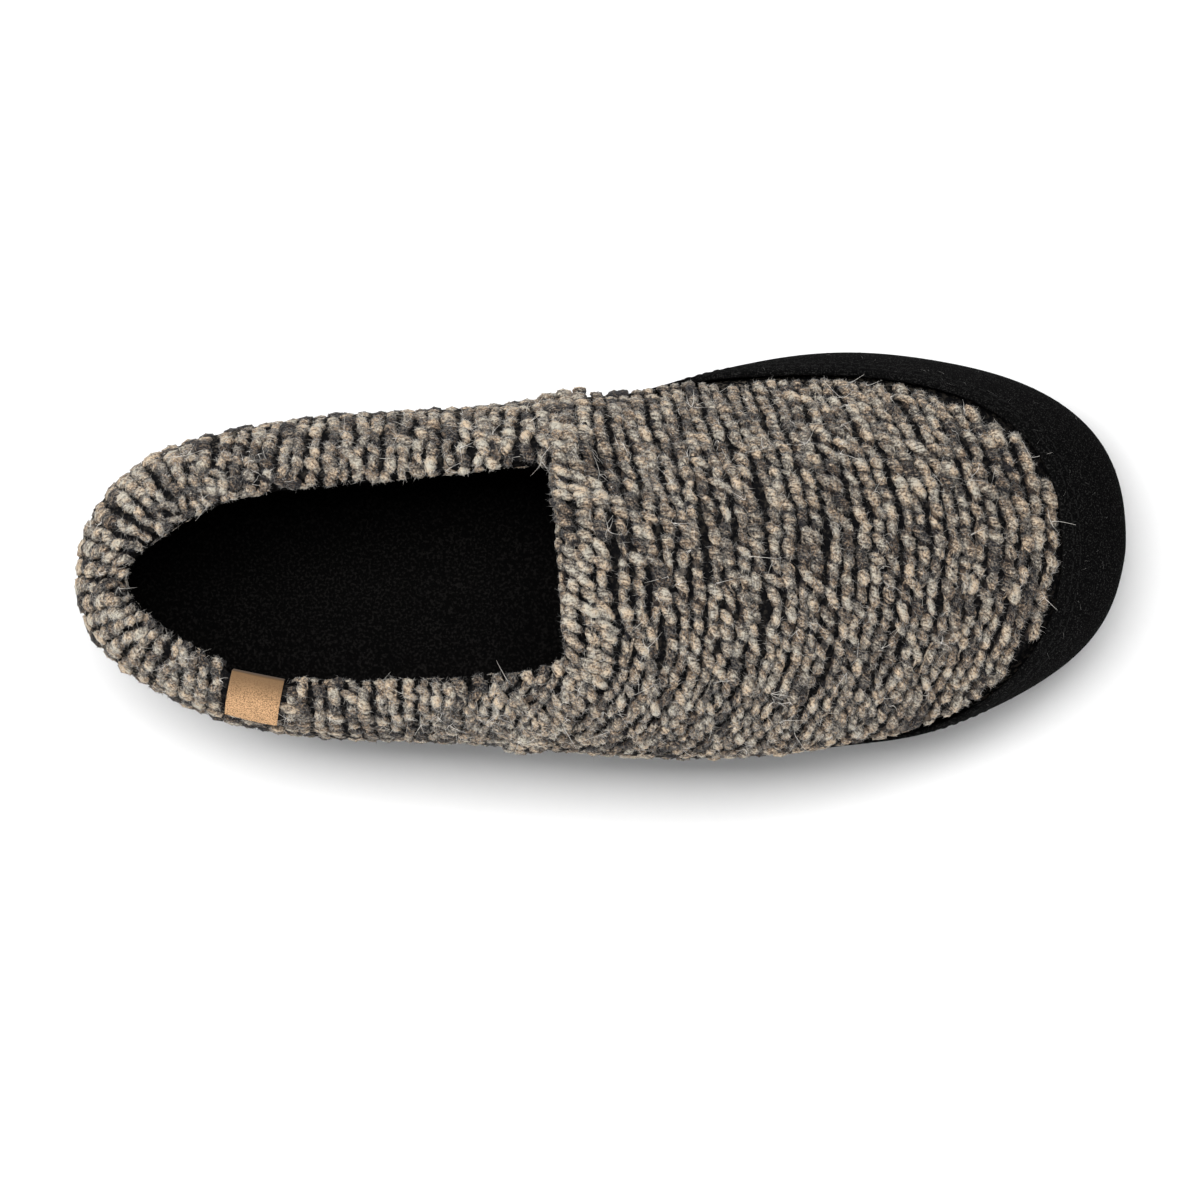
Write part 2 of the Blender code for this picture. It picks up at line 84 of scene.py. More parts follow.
# How the rows on the vamp bow towards the toe, at the throat and at the toe
BOW_THROAT = 0.0012
BOW_TOE = 0.0095
BOW_FROM = -12.0
BOW_TO = 128.0

# The rows sweep back on the outer side, below this line across, and behind the throat only this far
SWEEP_LINE = -27.0
SWEEP = 0.034
SWEEP_BACK = -60.0

# Rows of the folded hem, and where rows begin and end on the vamp and on the quarters
HEM_LEVELS = (-8.6, -4.4, -0.4)
VAMP_START = 5.2
VAMP_END = 125.4
QUARTER_MEDIAL_END = -13.0
QUARTER_LATERAL_END = -11.5

# How far the surface for the vamp reaches behind the hem, and where the surface for the quarters ends
HEM_MARGIN = 8.0
QUARTER_LIMIT = -4.0

# How far a row runs under the rand and over the collar's edge
UNDER_RAND = 2.5
OVER_EDGE = 10.0

# A line wider than this crosses the whole foot, and one with fewer points than this is no row
ACROSS_FOOT = 65.0
SHORTEST_LINE = 20

# The edge round the opening: its lowest height, the lean of the surface there, and how far it may face out
EDGE_FLOOR = 34.0
EDGE_TILT = 0.12
EDGE_OUT = 0.45

# A surface is a wall where its normal points up less than the first of these, and flat over the second
WALL_TILT = (0.15, 0.7)

# Inner end of the tab and the way inward across it, and what is left of the length past that end
TAB_EDGE = np.array([-98.4, -31.0])
TAB_INWARD = np.array([0.197, 0.980])
TAB_TUCK = 0.12

# Room round the tab that is searched, distance from it where its cover ends, and how a row goes under it
TAB_REACH = 6.0
TAB_COVER = (1.0, 2.8)
TAB_HIDES = 4
TAB_HIDDEN = 0.6

# Painted shade on the tab from its inner end outwards, its tone at the shaded end, what the lit part adds,
# and the lit and the shaded copies of its colour
TAB_SHADE = (-1.0, 10.0)
TAB_SHADED_TONE = 0.02
TAB_LIT = 0.9
TAB_LIT_FLECK = 1.25
TAB_SHADED_GROUND = 0.36

# Bevels of the sole and the tab in metres, and the angles past which their edges count as sharp
SOLE_BEVEL = 0.0005
SOLE_SHARP = math.radians(35)
TAB_BEVEL = 0.0003
TAB_SHARP = math.radians(50)
TAB_CREASE = math.radians(40)

# A knitted row: its kind, its line on the upper, and whether its two ends are held down by the rand
Row = namedtuple("Row", "kind points normals held")

# A yarn: radius of its pale strand and of its dark one, lift of its middle, length of a lump, how much
# paler than the rest, how far the ends of a lump lean across the row, how far lumps overlap, how far the row
# swells over the rand, and how unruly it is
Yarn = namedtuple("Yarn", "pale dark lift lump bright slant lap swell stray")

ROUND = 2 * math.pi

# Step along a strand, twist of its fibres, length of yarn to one unit of its map, and where hairs take root
YARN_STEP = 0.62
FIBRE_TURN = 5.0
MAP_LENGTH = 10.0
ROOT_HEIGHT = 0.25

# Any strand: unevenness of its thickness and its tone, and its painted light and shade: tone halfway up, what
# its lit top adds, and palest tone
STRAND = SimpleNamespace(rough=0.12, mottle=0.12, halfway=0.66, top=0.38, palest=1.15)

# Any row: its evenness, its sway, its depth and thickness on walls, under the tab and at its ends, its swell
ROW = SimpleNamespace(
    ease=3, jitter=0.05, room=(0.8, 1.35),
    wander=(0.5, 11.0), tremble=(0.3, 4.0), shared_sway=0.75, stray_sway=0.4,
    wall_depth=0.5, tab_depth=3.0, tab_slim=0.4, end_slim=0.35, end_length=1.6,
    swell_from=(1.0, 3.0), swell_to=(5.0, 11.0))

# The dark and the loose strand. Pairs are the size of a random line along them and the length of its waves
DARK = SimpleNamespace(
    sides=6, depth=0.7, joint=0.9, tone=0.12, wander=(0.8, 2.8), uneven=(0.25, 3.0), shades=(0.10, 5.0))
LOOSE = SimpleNamespace(
    sides=5, height=0.2, radius=0.38, tone=0.45, wander=(1.2, 3.4), tremble=(0.5, 1.9), rise=(0.6, 4.2),
    uneven=(0.14, 2.6), shades=(0.3, 5.5))

# A lump of the pale strand: its form, how far lumps differ, and their tones; its shade darkens its ends, as
# painted shade where they dip under the neighbours and as the charcoal of the marl there
LUMP = SimpleNamespace(
    sides=8, rings=9, crown=0.3, dip=1.3, dip_power=2.4, taper=0.86,
    span=(0.6, 1.4), lap=(0.8, 1.2), fat=0.16, fat_range=(0.6, 1.4), rise=0.28, slip=0.35, lean=0.65,
    tone=(0.72, 0.13), dark=0.24, dark_share=0.10, shade=0.7, shade_power=3)

# What a wall takes from a lump's slant, height, dip and roundness or from dark tones, and adds to the rest,
# its shade being more painted shade at a lump's ends
WALL = SimpleNamespace(
    slant=0.3, rise=0.6, dip=0.8, squash=0.45, dark=0.16, fat=0.28, shade=0.3, dark_share=0.14)

# The back of the heel, where lumps are painted paler to stand for light, and the inner waist, where the knit
# hangs over the rand
PAINTED_HEEL_LIGHT = SimpleNamespace(along=(-128.0, -108.0), bright=0.08)
WAIST = SimpleNamespace(back=(-12.0, -2.0), front=(20.0, 34.0), inner=(20.0, 30.0), swell=1.7)

# The ground under the knit: its depth, what a wall takes off it, its way under the tab, border and tone
GROUND = SimpleNamespace(
    depth=1.5, wall=0.9, under_tab=0.2, before_tab=1.0, facing=(-0.1, 0.4), border=0.15,
    tone=0.3, wall_tone=0.8)

# A kind of hair: its name, how many share a root, how far it rises, its length, its radius
Hair = namedtuple("Hair", "kind tuft rise reach radius")
HAIRS = (
    Hair("fuzz", 1, (0.0, 0.6), (0.8, 2.3), 0.06),
    Hair("down", 1, (0.2, 1.0), (0.5, 1.4), 0.06),
    Hair("fibres", 4, (0.05, 0.5), (1.0, 3.2), 0.085),
)

# Hairs: what a wall leaves of their length, taper, a nudge that turns their sides, sides, and steps of a curl
CALM = 0.35
HAIR_TAPER = 0.75
HAIR_NUDGE = 0.31
HAIR_SIDES = 3
CURL_STEPS = 5

# Tones of straight hairs: share and tone of dark ones, share taken from the yarn's tone with its painted
# light, spread and limits
FUZZ = SimpleNamespace(dark_share=0.3, dark=0.16, yarn=0.75, spread=0.17, limits=(0.05, 1.1))

# Long fibres and lint: how far they bend and sink, and their tones. Lint lies close to the rand's outer face
FIBRE = SimpleNamespace(bend=0.9, sink=0.15, tone=(0.75, 1.1))
LINT = SimpleNamespace(
    facing=0.3, bend=0.5, height=0.05, rise=0.06, reach=(0.5, 2.0), radius=0.04, tone=(0.05, 0.25))

# The seams: places and reach for reading the rand's edge, its easing and finer steps, and what is a seam
SEAM = SimpleNamespace(places=360, reach=0.06, ease=6, finer=4, facing=0.05, shortest=60, line_ease=4)

# A stitch: its sides, half its width and height, its tone, and the swell and rise of its rings along it
STITCH = SimpleNamespace(
    sides=6, wide=0.28, tall=0.24, tone=0.1,
    swell=np.array([0.35, 0.85, 1.0, 1.0, 0.85, 0.35]),
    rise=np.array([-0.30, -0.02, 0.06, 0.06, -0.02, -0.30]))

# The stage: places and sizes in metres, angles in radians, and the sensor's width in millimetres
FLOOR_SIZE = 14.0
EYE_PLACE = (-0.0012, -0.0123)
SENSOR_WIDTH = 36.0
SOFTBOX = SimpleNamespace(place=(-0.7, 0.45, 1.55), size=(2.6, 0.75))
LOW_FILL = SimpleNamespace(place=(0.0, -1.1, 0.24), size=(1.4, 0.3), tilt=0.19, spread=math.radians(40))


class KnitSettings(bpy.types.PropertyGroup):
    """Sizes and colours of the knit."""

    row_pitch: bpy.props.FloatProperty(
        name="Row pitch", description="Distance between knitted rows",
        default=0.0040, min=0.002, max=0.01, unit="LENGTH")
    lump: bpy.props.FloatProperty(
        name="Lump", description="Usual length of a lump of the yarn along a row",
        default=0.0044, min=0.002, max=0.012, unit="LENGTH")
    pale_yarn: bpy.props.FloatProperty(
        name="Pale strand", description="Thickness of the pale strand",
        default=0.0030, min=0.001, max=0.006, unit="LENGTH")
    dark_yarn: bpy.props.FloatProperty(
        name="Dark strand", description="Thickness of the charcoal strand",
        default=0.0018, min=0.001, max=0.006, unit="LENGTH")
    hem_lift: bpy.props.FloatProperty(
        name="Hem lift", description="How far the folded hem of the throat stands proud",
        default=0.0012, min=0.0, max=0.004, unit="LENGTH")
    oatmeal: bpy.props.FloatVectorProperty(
        name="Oatmeal", description="Palest wool", subtype="COLOR",
        default=(0.53, 0.455, 0.352), min=0.0, max=1.0)
    taupe: bpy.props.FloatVectorProperty(
        name="Taupe", description="Middle tone of the wool", subtype="COLOR",
        default=(0.18, 0.143, 0.109), min=0.0, max=1.0)
    charcoal: bpy.props.FloatVectorProperty(
        name="Charcoal", description="Dark strand of the marl", subtype="COLOR",
        default=(0.0175, 0.0162, 0.0175), min=0.0, max=1.0)
    fibres: bpy.props.IntProperty(
        name="Stray fibres", description="Number of long pale hairs on the vamp, and on the quarters",
        default=800, min=0, max=4000)
    fuzz: bpy.props.IntProperty(
        name="Fuzz", description="Number of short hairs on the vamp, and on the quarters",
        default=48000, min=0, max=48000)
    seed: bpy.props.IntProperty(
        name="Seed", description="Start of the random draws",
        default=11, min=0)


class BandSettings(bpy.types.PropertyGroup):
    """Sizes and colours of the rand, the sole, the fleece and the tab."""

    suede: bpy.props.FloatVectorProperty(
        name="Suede", description="Colour of the rand", subtype="COLOR",
        default=(0.0020, 0.0020, 0.0021), min=0.0, max=1.0)
    suede_fleck: bpy.props.FloatVectorProperty(
        name="Suede nap", description="Colour of the raised nap", subtype="COLOR",
        default=(0.040, 0.0395, 0.038), min=0.0, max=1.0)
    seam_stitch: bpy.props.FloatProperty(
        name="Seam stitch", description="Length of the stitches along the rand",
        default=0.0032, min=0.001, max=0.008, unit="LENGTH")
    seam_near: bpy.props.FloatProperty(
        name="First seam", description="Distance of the first seam from the rand's edge",
        default=0.0028, min=0.001, max=0.01, unit="LENGTH")
    seam_far: bpy.props.FloatProperty(
        name="Second seam", description="Distance of the second seam from the rand's edge",
        default=0.0053, min=0.001, max=0.01, unit="LENGTH")
    lint: bpy.props.IntProperty(
        name="Lint", description="Number of loose hairs on the rand",
        default=160, min=0, max=2000)
    fleece: bpy.props.FloatVectorProperty(
        name="Fleece", description="Colour of the lining", subtype="COLOR",
        default=(0.0016, 0.0015, 0.0015), min=0.0, max=1.0)
    rubber: bpy.props.FloatVectorProperty(
        name="Rubber", description="Colour of the outsole", subtype="COLOR",
        default=(0.010, 0.010, 0.011), min=0.0, max=1.0)
    tab: bpy.props.FloatVectorProperty(
        name="Tab", description="Colour of the tab", subtype="COLOR",
        default=(0.475, 0.287, 0.151), min=0.0, max=1.0)


class StageSettings(bpy.types.PropertyGroup):
    """Floor, light and camera."""

    floor: bpy.props.FloatVectorProperty(
        name="Floor", description="Colour of the floor", subtype="COLOR",
        default=(0.92, 0.92, 0.92), min=0.0, max=1.0)
    key: bpy.props.FloatProperty(
        name="Softbox", description="Strength of the softbox", default=52.0, min=0.0)
    fill: bpy.props.FloatProperty(
        name="Fill", description="Strength of the low light on the outer side", default=1.4, min=0.0)
    sky: bpy.props.FloatProperty(
        name="Sky", description="Strength of the even light all round", default=0.16, min=0.0)
    eye_height: bpy.props.FloatProperty(
        name="Eye height", description="Height of the camera over the floor",
        default=1.4, min=0.3, max=5.0, unit="LENGTH")
    lens: bpy.props.FloatProperty(
        name="Lens", description="Focal length in millimetres", default=151.2, min=10.0)


def unit(vectors):
    return vectors / np.maximum(np.linalg.norm(vectors, axis=-1, keepdims=True), 1e-9)


def smoothstep(low, high, values):
    share = np.clip((values - low) / (high - low), 0, 1)
    return share * share * (3 - 2 * share)


def flatness(normals):
    """How flat a surface lies: 0 on a wall, 1 on top."""
    return smoothstep(*WALL_TILT, normals[:, 2])


def along_surface(vectors, normals):
    """Vectors without their part along the normals."""
    return vectors - normals * (vectors * normals).sum(axis=1)[:, None]


# Pieces that start from a copy of a node


def node_copy(node, name):
    """A new object with a copy of a node's mesh, its loose triangles merged and joined into quads."""
    bpy.ops.object.select_all(action="DESELECT")
    made = bpy.data.objects.new(name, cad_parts[node].data.copy())
    made.data.name = name
    made.data.materials.clear()
    bpy.context.scene.collection.objects.link(made)
    bpy.context.view_layer.objects.active = made
    made.select_set(True)
    bpy.ops.mesh.customdata_custom_splitnormals_clear()
    bpy.ops.object.mode_set(mode="EDIT")
    bpy.ops.mesh.select_all(action="SELECT")
    bpy.ops.mesh.remove_doubles(threshold=1e-5)
    bpy.ops.mesh.tris_convert_to_quads(face_threshold=math.pi, shape_threshold=math.pi)
    bpy.ops.object.mode_set(mode="OBJECT")
    return made


def apply_modifier(piece, name, kind, **values):
    """Adds a modifier with the given values and applies it."""
    modifier = piece.modifiers.new(name, kind)
    for key, value in values.items():
        setattr(modifier, key, value)
    bpy.ops.object.select_all(action="DESELECT")
    bpy.context.view_layer.objects.active = piece
    piece.select_set(True)
    bpy.ops.object.modifier_apply(modifier=name)


def ease_edges(piece, width, sharp):
    """Bevels the edges of a piece that are sharper than an angle."""
    apply_modifier(
        piece, "eased_edges", "BEVEL", width=width, segments=2, limit_method="ANGLE", angle_limit=sharp)


def smooth_copy(node, name, levels):
    """A copy of a node with rounded, subdivided faces."""
    made = node_copy(node, name)
    apply_modifier(made, "rounding", "SUBSURF", levels=levels, render_levels=levels)
    bpy.ops.object.shade_smooth()
    return made


Surface = namedtuple("Surface", "points normals triangles")


def surface_of(piece):
    """Points in millimetres, normals and triangles of a mesh piece."""
    mesh = piece.data
    mesh.calc_loop_triangles()
    points = np.empty(len(mesh.vertices) * 3)
    mesh.vertices.foreach_get("co", points)
    normals = np.empty(len(mesh.vertices) * 3)
    mesh.vertex_normals.foreach_get("vector", normals)
    triangles = np.empty(len(mesh.loop_triangles) * 3, dtype=np.int32)
    mesh.loop_triangles.foreach_get("vertices", triangles)
    return Surface(points.reshape(-1, 3) / MM, normals.reshape(-1, 3), triangles.reshape(-1, 3))


def part_of(surface, kept):
    """The surface with only those triangles whose corners are all kept."""
    return surface._replace(triangles=surface.triangles[kept[surface.triangles].all(axis=1)])


def move_points(piece, points):
    """Moves the points of a mesh piece to places in millimetres."""
    piece.data.vertices.foreach_set("co", (points * MM).astype(np.float32).ravel())
    piece.data.update()


def facing_out(points, normals):
    """How squarely each face looks away from the room for the foot: 1 outside, -1 inside."""
    along = ROOM_TOE - ROOM_HEEL
    share = np.clip((points - ROOM_HEEL) @ along / (along @ along), 0, 1)
    away = points - (ROOM_HEEL + share[:, None] * along)
    return (unit(away) * normals).sum(axis=1)


def level_lines(surface, field, level):
    """Lines on a surface where a field at its points has a level, each as points and normals in order."""
    corners = surface.triangles
    above = field[corners] > level
    tally = above.sum(axis=1)
    crossed = np.flatnonzero((tally == 1) | (tally == 2))
    corners = corners[crossed]
    odd = np.argmax(above[crossed] == (tally[crossed] == 1)[:, None], axis=1)
    rows = np.arange(len(crossed))
    tips = corners[rows, odd]
    ends = []
    for turn in (1, 2):
        pair = np.column_stack([tips, corners[rows, (odd + turn) % 3]])
        ends.append([tuple(p) for p in np.sort(pair, axis=1)])
    links = {}
    for one, two in zip(*ends):
        links.setdefault(one, []).append(two)
        links.setdefault(two, []).append(one)
    lines = []
    used = set()
    open_ends = [key for key, joined in links.items() if len(joined) == 1]
    for start in open_ends + list(links):
        if start in used:
            continue
        chain = [start]
        used.add(start)
        while True:
            following = next((key for key in links[chain[-1]] if key not in used), None)
            if following is None:
                break
            chain.append(following)
            used.add(following)
        pairs = np.array(chain)
        near, far = field[pairs[:, 0]], field[pairs[:, 1]]
        share = ((level - near) / (far - near))[:, None]
        points = surface.points[pairs[:, 0]] * (1 - share) + surface.points[pairs[:, 1]] * share
        normals = surface.normals[pairs[:, 0]] * (1 - share) + surface.normals[pairs[:, 1]] * share
        lines.append((points, unit(normals)))
    return lines


def walked(points):
    """Distance walked along a line to each of its points."""
    steps = np.linalg.norm(np.diff(points, axis=0), axis=1)
    return np.concatenate([[0.0], np.cumsum(steps)])


def between(stops, values, places):
    """Values with one row for each stop, read at places between the stops."""
    return np.stack([np.interp(places, stops, values[:, c]) for c in range(values.shape[1])], axis=-1)


def resampled(points, normals, step, ease):
    """The line with even steps, its corners eased by averaging neighbours."""
    length = walked(points)
    count = max(4, int(round(length[-1] / step)) + 1)
    stops = np.linspace(0, length[-1], count)
    spaced = [between(length, a, stops) for a in (points, normals)]
    for _ in range(ease):
        for a in spaced:
            a[1:-1] = (a[:-2] + 2 * a[1:-1] + a[2:]) / 4
    return spaced[0], unit(spaced[1]), stops


def rand_turn(plan):
    """Angle of plan points round the middle of the rand."""
    return np.arctan2(*(plan - RAND_MIDDLE).T[::-1])


def close_turns(turn, place, reach):
    """Numbers of the angles that lie within reach of a place."""
    return np.flatnonzero(np.abs((turn - place + math.pi) % ROUND - math.pi) < reach)


def rand_edge():
    """Function that gives the height of the rand's top edge at plan points."""
    points = np.array([v.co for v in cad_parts["rand"].data.vertices]) / MM
    turn = rand_turn(points[:, :2])
    places = np.linspace(-math.pi, math.pi, RAND_PLACES, endpoint=False)
    reach = ROUND / RAND_PLACES * RAND_REACH
    tops = [points[close_turns(turn, place, reach), 2].max() for place in places]

    def at(plan):
        return np.interp(rand_turn(plan), places, tops, period=ROUND)

    return at


# Rows of the knit


def lateral_sweep(x, y):
    """How far the rows sweep back on the outer side: most beside the throat, not at all at heel and toe."""
    low = np.maximum(SWEEP_LINE - y, 0)
    ahead = np.clip((BOW_TO - x) / (BOW_TO - BOW_FROM), 0, 1) ** 1.5
    return SWEEP * low ** 2 * ahead * smoothstep(SWEEP_BACK, BOW_FROM, x)


def vamp_field(points):
    """Place along the shoe of the knitted rows over the toes, which bow towards the toe."""
    x, y = points[:, 0], points[:, 1]
    forward = np.clip((x - BOW_FROM) / (BOW_TO - BOW_FROM), 0, 1)
    bow = BOW_THROAT + (BOW_TOE - BOW_THROAT) * forward
    middle = THROAT_MIDDLE + (TOE_MIDDLE - THROAT_MIDDLE) * forward
    slope = THROAT_SLOPE * (1 - forward)
    return x + slope * (y - THROAT_MIDDLE) + bow * (y - middle) ** 2 + lateral_sweep(x, y)


def quarter_field(points):
    """Place of the ribs round the heel, from the outer side to the inner side."""
    x, y = points[:, 0] - FAN[0], points[:, 1] - FAN[1]
    turned = np.arctan2(y, -x)
    side = np.sign(y) * (FAN_RADIUS * math.pi / 2 + x + lateral_sweep(points[:, 0], points[:, 1]))
    return np.where(x > 0, side, FAN_RADIUS * turned)


FIELDS = {"hem": vamp_field, "vamp": vamp_field, "quarter": quarter_field}


def row_room(row):
    """Room between a row and its neighbours along the surface, as a share of the pitch."""
    if row.kind not in FIELDS:
        return np.ones(len(row.points))
    field = FIELDS[row.kind]
    slope = np.zeros_like(row.points)
    for axis in (0, 1):
        move = np.eye(3)[axis] / 2
        slope[:, axis] = field(row.points + move) - field(row.points - move)
    slope = np.linalg.norm(along_surface(slope, row.normals), axis=1)
    return np.clip(1 / np.maximum(slope, 0.1), *ROW.room)


def started_at(line, first):
    return [np.roll(a, -first, axis=0) for a in line]


def vamp_row(line, edge):
    """The part of a closed line that lies on the outside, from the rand over the foot to the rand."""
    points, normals = started_at(line, int(line[0][:, 2].argmax()))
    low = points[:, 2] < edge(points[:, :2]) - UNDER_RAND
    if low[0] or not low.any():
        return None
    ahead, behind = int(np.argmax(low)), int(np.argmax(low[::-1]))
    pick = np.concatenate([np.arange(len(points) - behind, len(points)), np.arange(ahead)])
    return points[pick], normals[pick]


def quarter_row(line, edge):
    """The part of a closed line from the rand up the outside and over the collar's edge."""
    points, normals = started_at(line, int(line[0][:, 2].argmax()))
    out = facing_out(points, normals)
    count = len(points)
    if out[1:count // 4].sum() < out[-(count // 4):].sum():
        points, normals = [np.roll(a[::-1], 1, axis=0) for a in (points, normals)]
    low = points[:, 2] < edge(points[:, :2]) - UNDER_RAND
    if low[0] or not low.any():
        return None
    ahead = int(np.argmax(low))
    back = walked(points[::-1])
    inward = int(np.searchsorted(back, OVER_EDGE))
    pick = np.concatenate([np.arange(ahead)[::-1], np.arange(count - 1, count - 1 - inward, -1)])
    return points[pick], normals[pick]


def front_row(line, edge):
    """The row along a closed line in front of the quarters: over the foot, or up one side of it."""
    across = np.ptp(line[0][:, 1]) > ACROSS_FOOT
    return vamp_row(line, edge) if across else quarter_row(line, edge)


def opening_edge(surface):
    """The line round the opening where the collar and the throat turn down inside."""
    inner = facing_out(surface.points, surface.normals) < EDGE_OUT
    rim = part_of(surface, inner & (surface.points[:, 2] > EDGE_FLOOR))
    lines = level_lines(rim, surface.normals[:, 2], EDGE_TILT)
    return Row("edge", *max(lines, key=lambda line: len(line[0])), (False, False))


def row_levels(first, last, pitch, draw):
    """Levels of rows at an even pitch, each a little off its place."""
    levels = np.linspace(first, last, int(round((last - first) / pitch)) + 1)
    return levels + draw.normal(0, ROW.jitter * pitch, len(levels))


def knit_rows(surface, pitch, draw):
    """Rows of the vamp with its hem, of the quarters, and of the edge round the opening."""
    edge = rand_edge()
    vamp, quarter = vamp_field(surface.points), quarter_field(surface.points)
    front = part_of(surface, vamp > HEM_LEVELS[0] - HEM_MARGIN)
    back = part_of(surface, surface.points[:, 0] < QUARTER_LIMIT)
    half_fan = FAN_RADIUS * math.pi / 2
    first = -(half_fan + QUARTER_LATERAL_END - FAN[0])
    last = half_fan + QUARTER_MEDIAL_END - FAN[0]
    courses = (
        ("hem", front, vamp, HEM_LEVELS, front_row, (True, True)),
        ("vamp", front, vamp, row_levels(VAMP_START, VAMP_END, pitch, draw), front_row, (True, True)),
        ("quarter", back, quarter, row_levels(first, last, pitch, draw), quarter_row, (True, False)),
    )
    rows = []
    for kind, part, field, levels, cut, held in courses:
        for level in levels:
            for line in level_lines(part, field, level):
                row = cut(line, edge) if len(line[0]) > SHORTEST_LINE else None
                if row:
                    rows.append(Row(kind, *row, held))
    rows.append(opening_edge(surface))
    return rows


def under_tab():
    """Function that gives how far each point lies under the tab: 1 beneath it, 0 away from it."""
    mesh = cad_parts["collar_tab"].data
    mesh.calc_loop_triangles()
    triangles = [list(t.vertices) for t in mesh.loop_triangles]
    tree = BVHTree.FromPolygons([v.co / MM for v in mesh.vertices], triangles)
    low, high = [np.array(corner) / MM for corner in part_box("collar_tab")]

    def at(points):
        share = np.zeros(len(points))
        close = (points > low - TAB_REACH) & (points < high + TAB_REACH)
        for i in np.flatnonzero(close.all(axis=1)):
            share[i] = 1 - smoothstep(*TAB_COVER, np.array(tree.find_nearest(points[i])[3]))
        return share

    return at


def past_tab(points):
    """How far points lie inward of the tab's inner end."""
    return (points[:, :2] - TAB_EDGE) @ TAB_INWARD


def tab_tuck(points, before):
    """How far points move back across the shoe, to go down at the tab's inner end or this far before it."""
    return np.maximum(past_tab(points) + before, 0)[:, None] * (1 - TAB_TUCK) * TAB_INWARD


def slow_noise(draw, stops, wave):
    """A smooth random line along the stops, from about -1 to 1, with waves of the given length."""
    knots = np.arange(stops[0] - wave, stops[-1] + 2 * wave, wave)
    values = draw.uniform(-1, 1, len(knots))
    share = (stops - knots[0]) / wave
    low = np.floor(share).astype(int)
    ease = smoothstep(0, 1, share - low)
    return values[low] * (1 - ease) + values[low + 1] * ease


def shared_sway(points):
    """A slow drift that neighbouring rows share, from about -1 to 1."""
    x, y = points[:, 0], points[:, 1]
    patches = 0.6 * np.sin(x / 13.0 + 1.7 * np.sin(y / 19.0)) * np.sin(y / 8.5 + 0.8)
    return patches + 0.4 * np.sin(y / 5.1 + x / 31.0)


def lump_run(draw, length, lump):
    """Ends of the lumps along a row, uneven in length."""
    count = max(2, int(round(length / lump)))
    spans = draw.uniform(*LUMP.span, count)
    return np.concatenate([[0.0], np.cumsum(spans)]) * length / spans.sum()


class YarnMesh:
    """Gathers strands into one mesh, with a tone at each point and a map along each strand."""

    def __init__(self):
        self.points, self.quads, self.caps = [], [], []
        self.tones, self.maps, self.tops, self.ups, self.runs = [], [], [], [], []
        self.count = 0

    def add_strand(self, middle, normals, radius, sides, tone, stops, draw, squash=1.0):
        """A tube round the middle line, with a tone for each step that is painted paler on the upper side and
        darker underneath.
        """
        turn = -math.pi / 2 + np.arange(sides) / sides * ROUND
        forward = unit(np.gradient(middle, axis=0))
        across = unit(np.cross(forward, normals))
        over = np.cross(across, forward)
        lump = 1 + STRAND.rough * draw.standard_normal((len(stops), sides))
        wide = radius[:, None] * lump * np.cos(turn)
        high = (radius * squash)[:, None] * lump * np.sin(turn)
        ring = middle[:, None] + across[:, None] * wide[..., None] + over[:, None] * high[..., None]
        # Painted light and shade: the tone is paler on the strand's upper side and darker underneath
        shade = tone[:, None] * (STRAND.halfway + STRAND.top * np.sin(turn))
        shade = shade + STRAND.mottle * draw.standard_normal(lump.shape)
        self.store(ring, np.clip(shade, 0, STRAND.palest), stops, turn, normals, forward)

    def store(self, ring, tone, stops, turn, normals, forward):
        """Adds rings of points, closed at both ends."""
        rows, sides = ring.shape[:2]
        index = np.arange(rows * sides).reshape(rows, sides) + self.count
        around = np.roll(index, -1, axis=1)
        quads = np.stack([index[:-1], around[:-1], around[1:], index[1:]], axis=-1)
        self.quads.append(quads.reshape(-1, 4))
        self.caps += [index[0][::-1], index[-1]]
        self.points.append(ring.reshape(-1, 3))
        self.tones.append(tone.reshape(-1))
        helix = turn[None, :] / ROUND - stops[:, None] / FIBRE_TURN
        grid = np.stack(np.broadcast_arrays(stops[:, None] / MAP_LENGTH, helix), axis=-1)
        self.maps.append(grid.reshape(-1, 2))
        self.tops.append(np.tile(np.sin(turn) > ROOT_HEIGHT, rows))
        self.ups.append(np.repeat(normals, sides, axis=0))
        self.runs.append(np.repeat(forward, sides, axis=0))
        self.count += rows * sides

    def to_object(self, name, material):
        """A piece from all strands."""
        faces = [np.concatenate(self.quads), np.array(self.caps)]
        made = object_from_arrays(name, np.concatenate(self.points), faces, material)
        write_tone(made.data, np.concatenate(self.tones))
        write_map(made.data, np.concatenate(self.maps))
        return made


def inner_waist(points):
    """Share of the inner waist at each point, where the knit hangs over the rand."""
    x, y = points[:, 0], points[:, 1]
    return smoothstep(*WAIST.back, x) * (1 - smoothstep(*WAIST.front, x)) * smoothstep(*WAIST.inner, y)


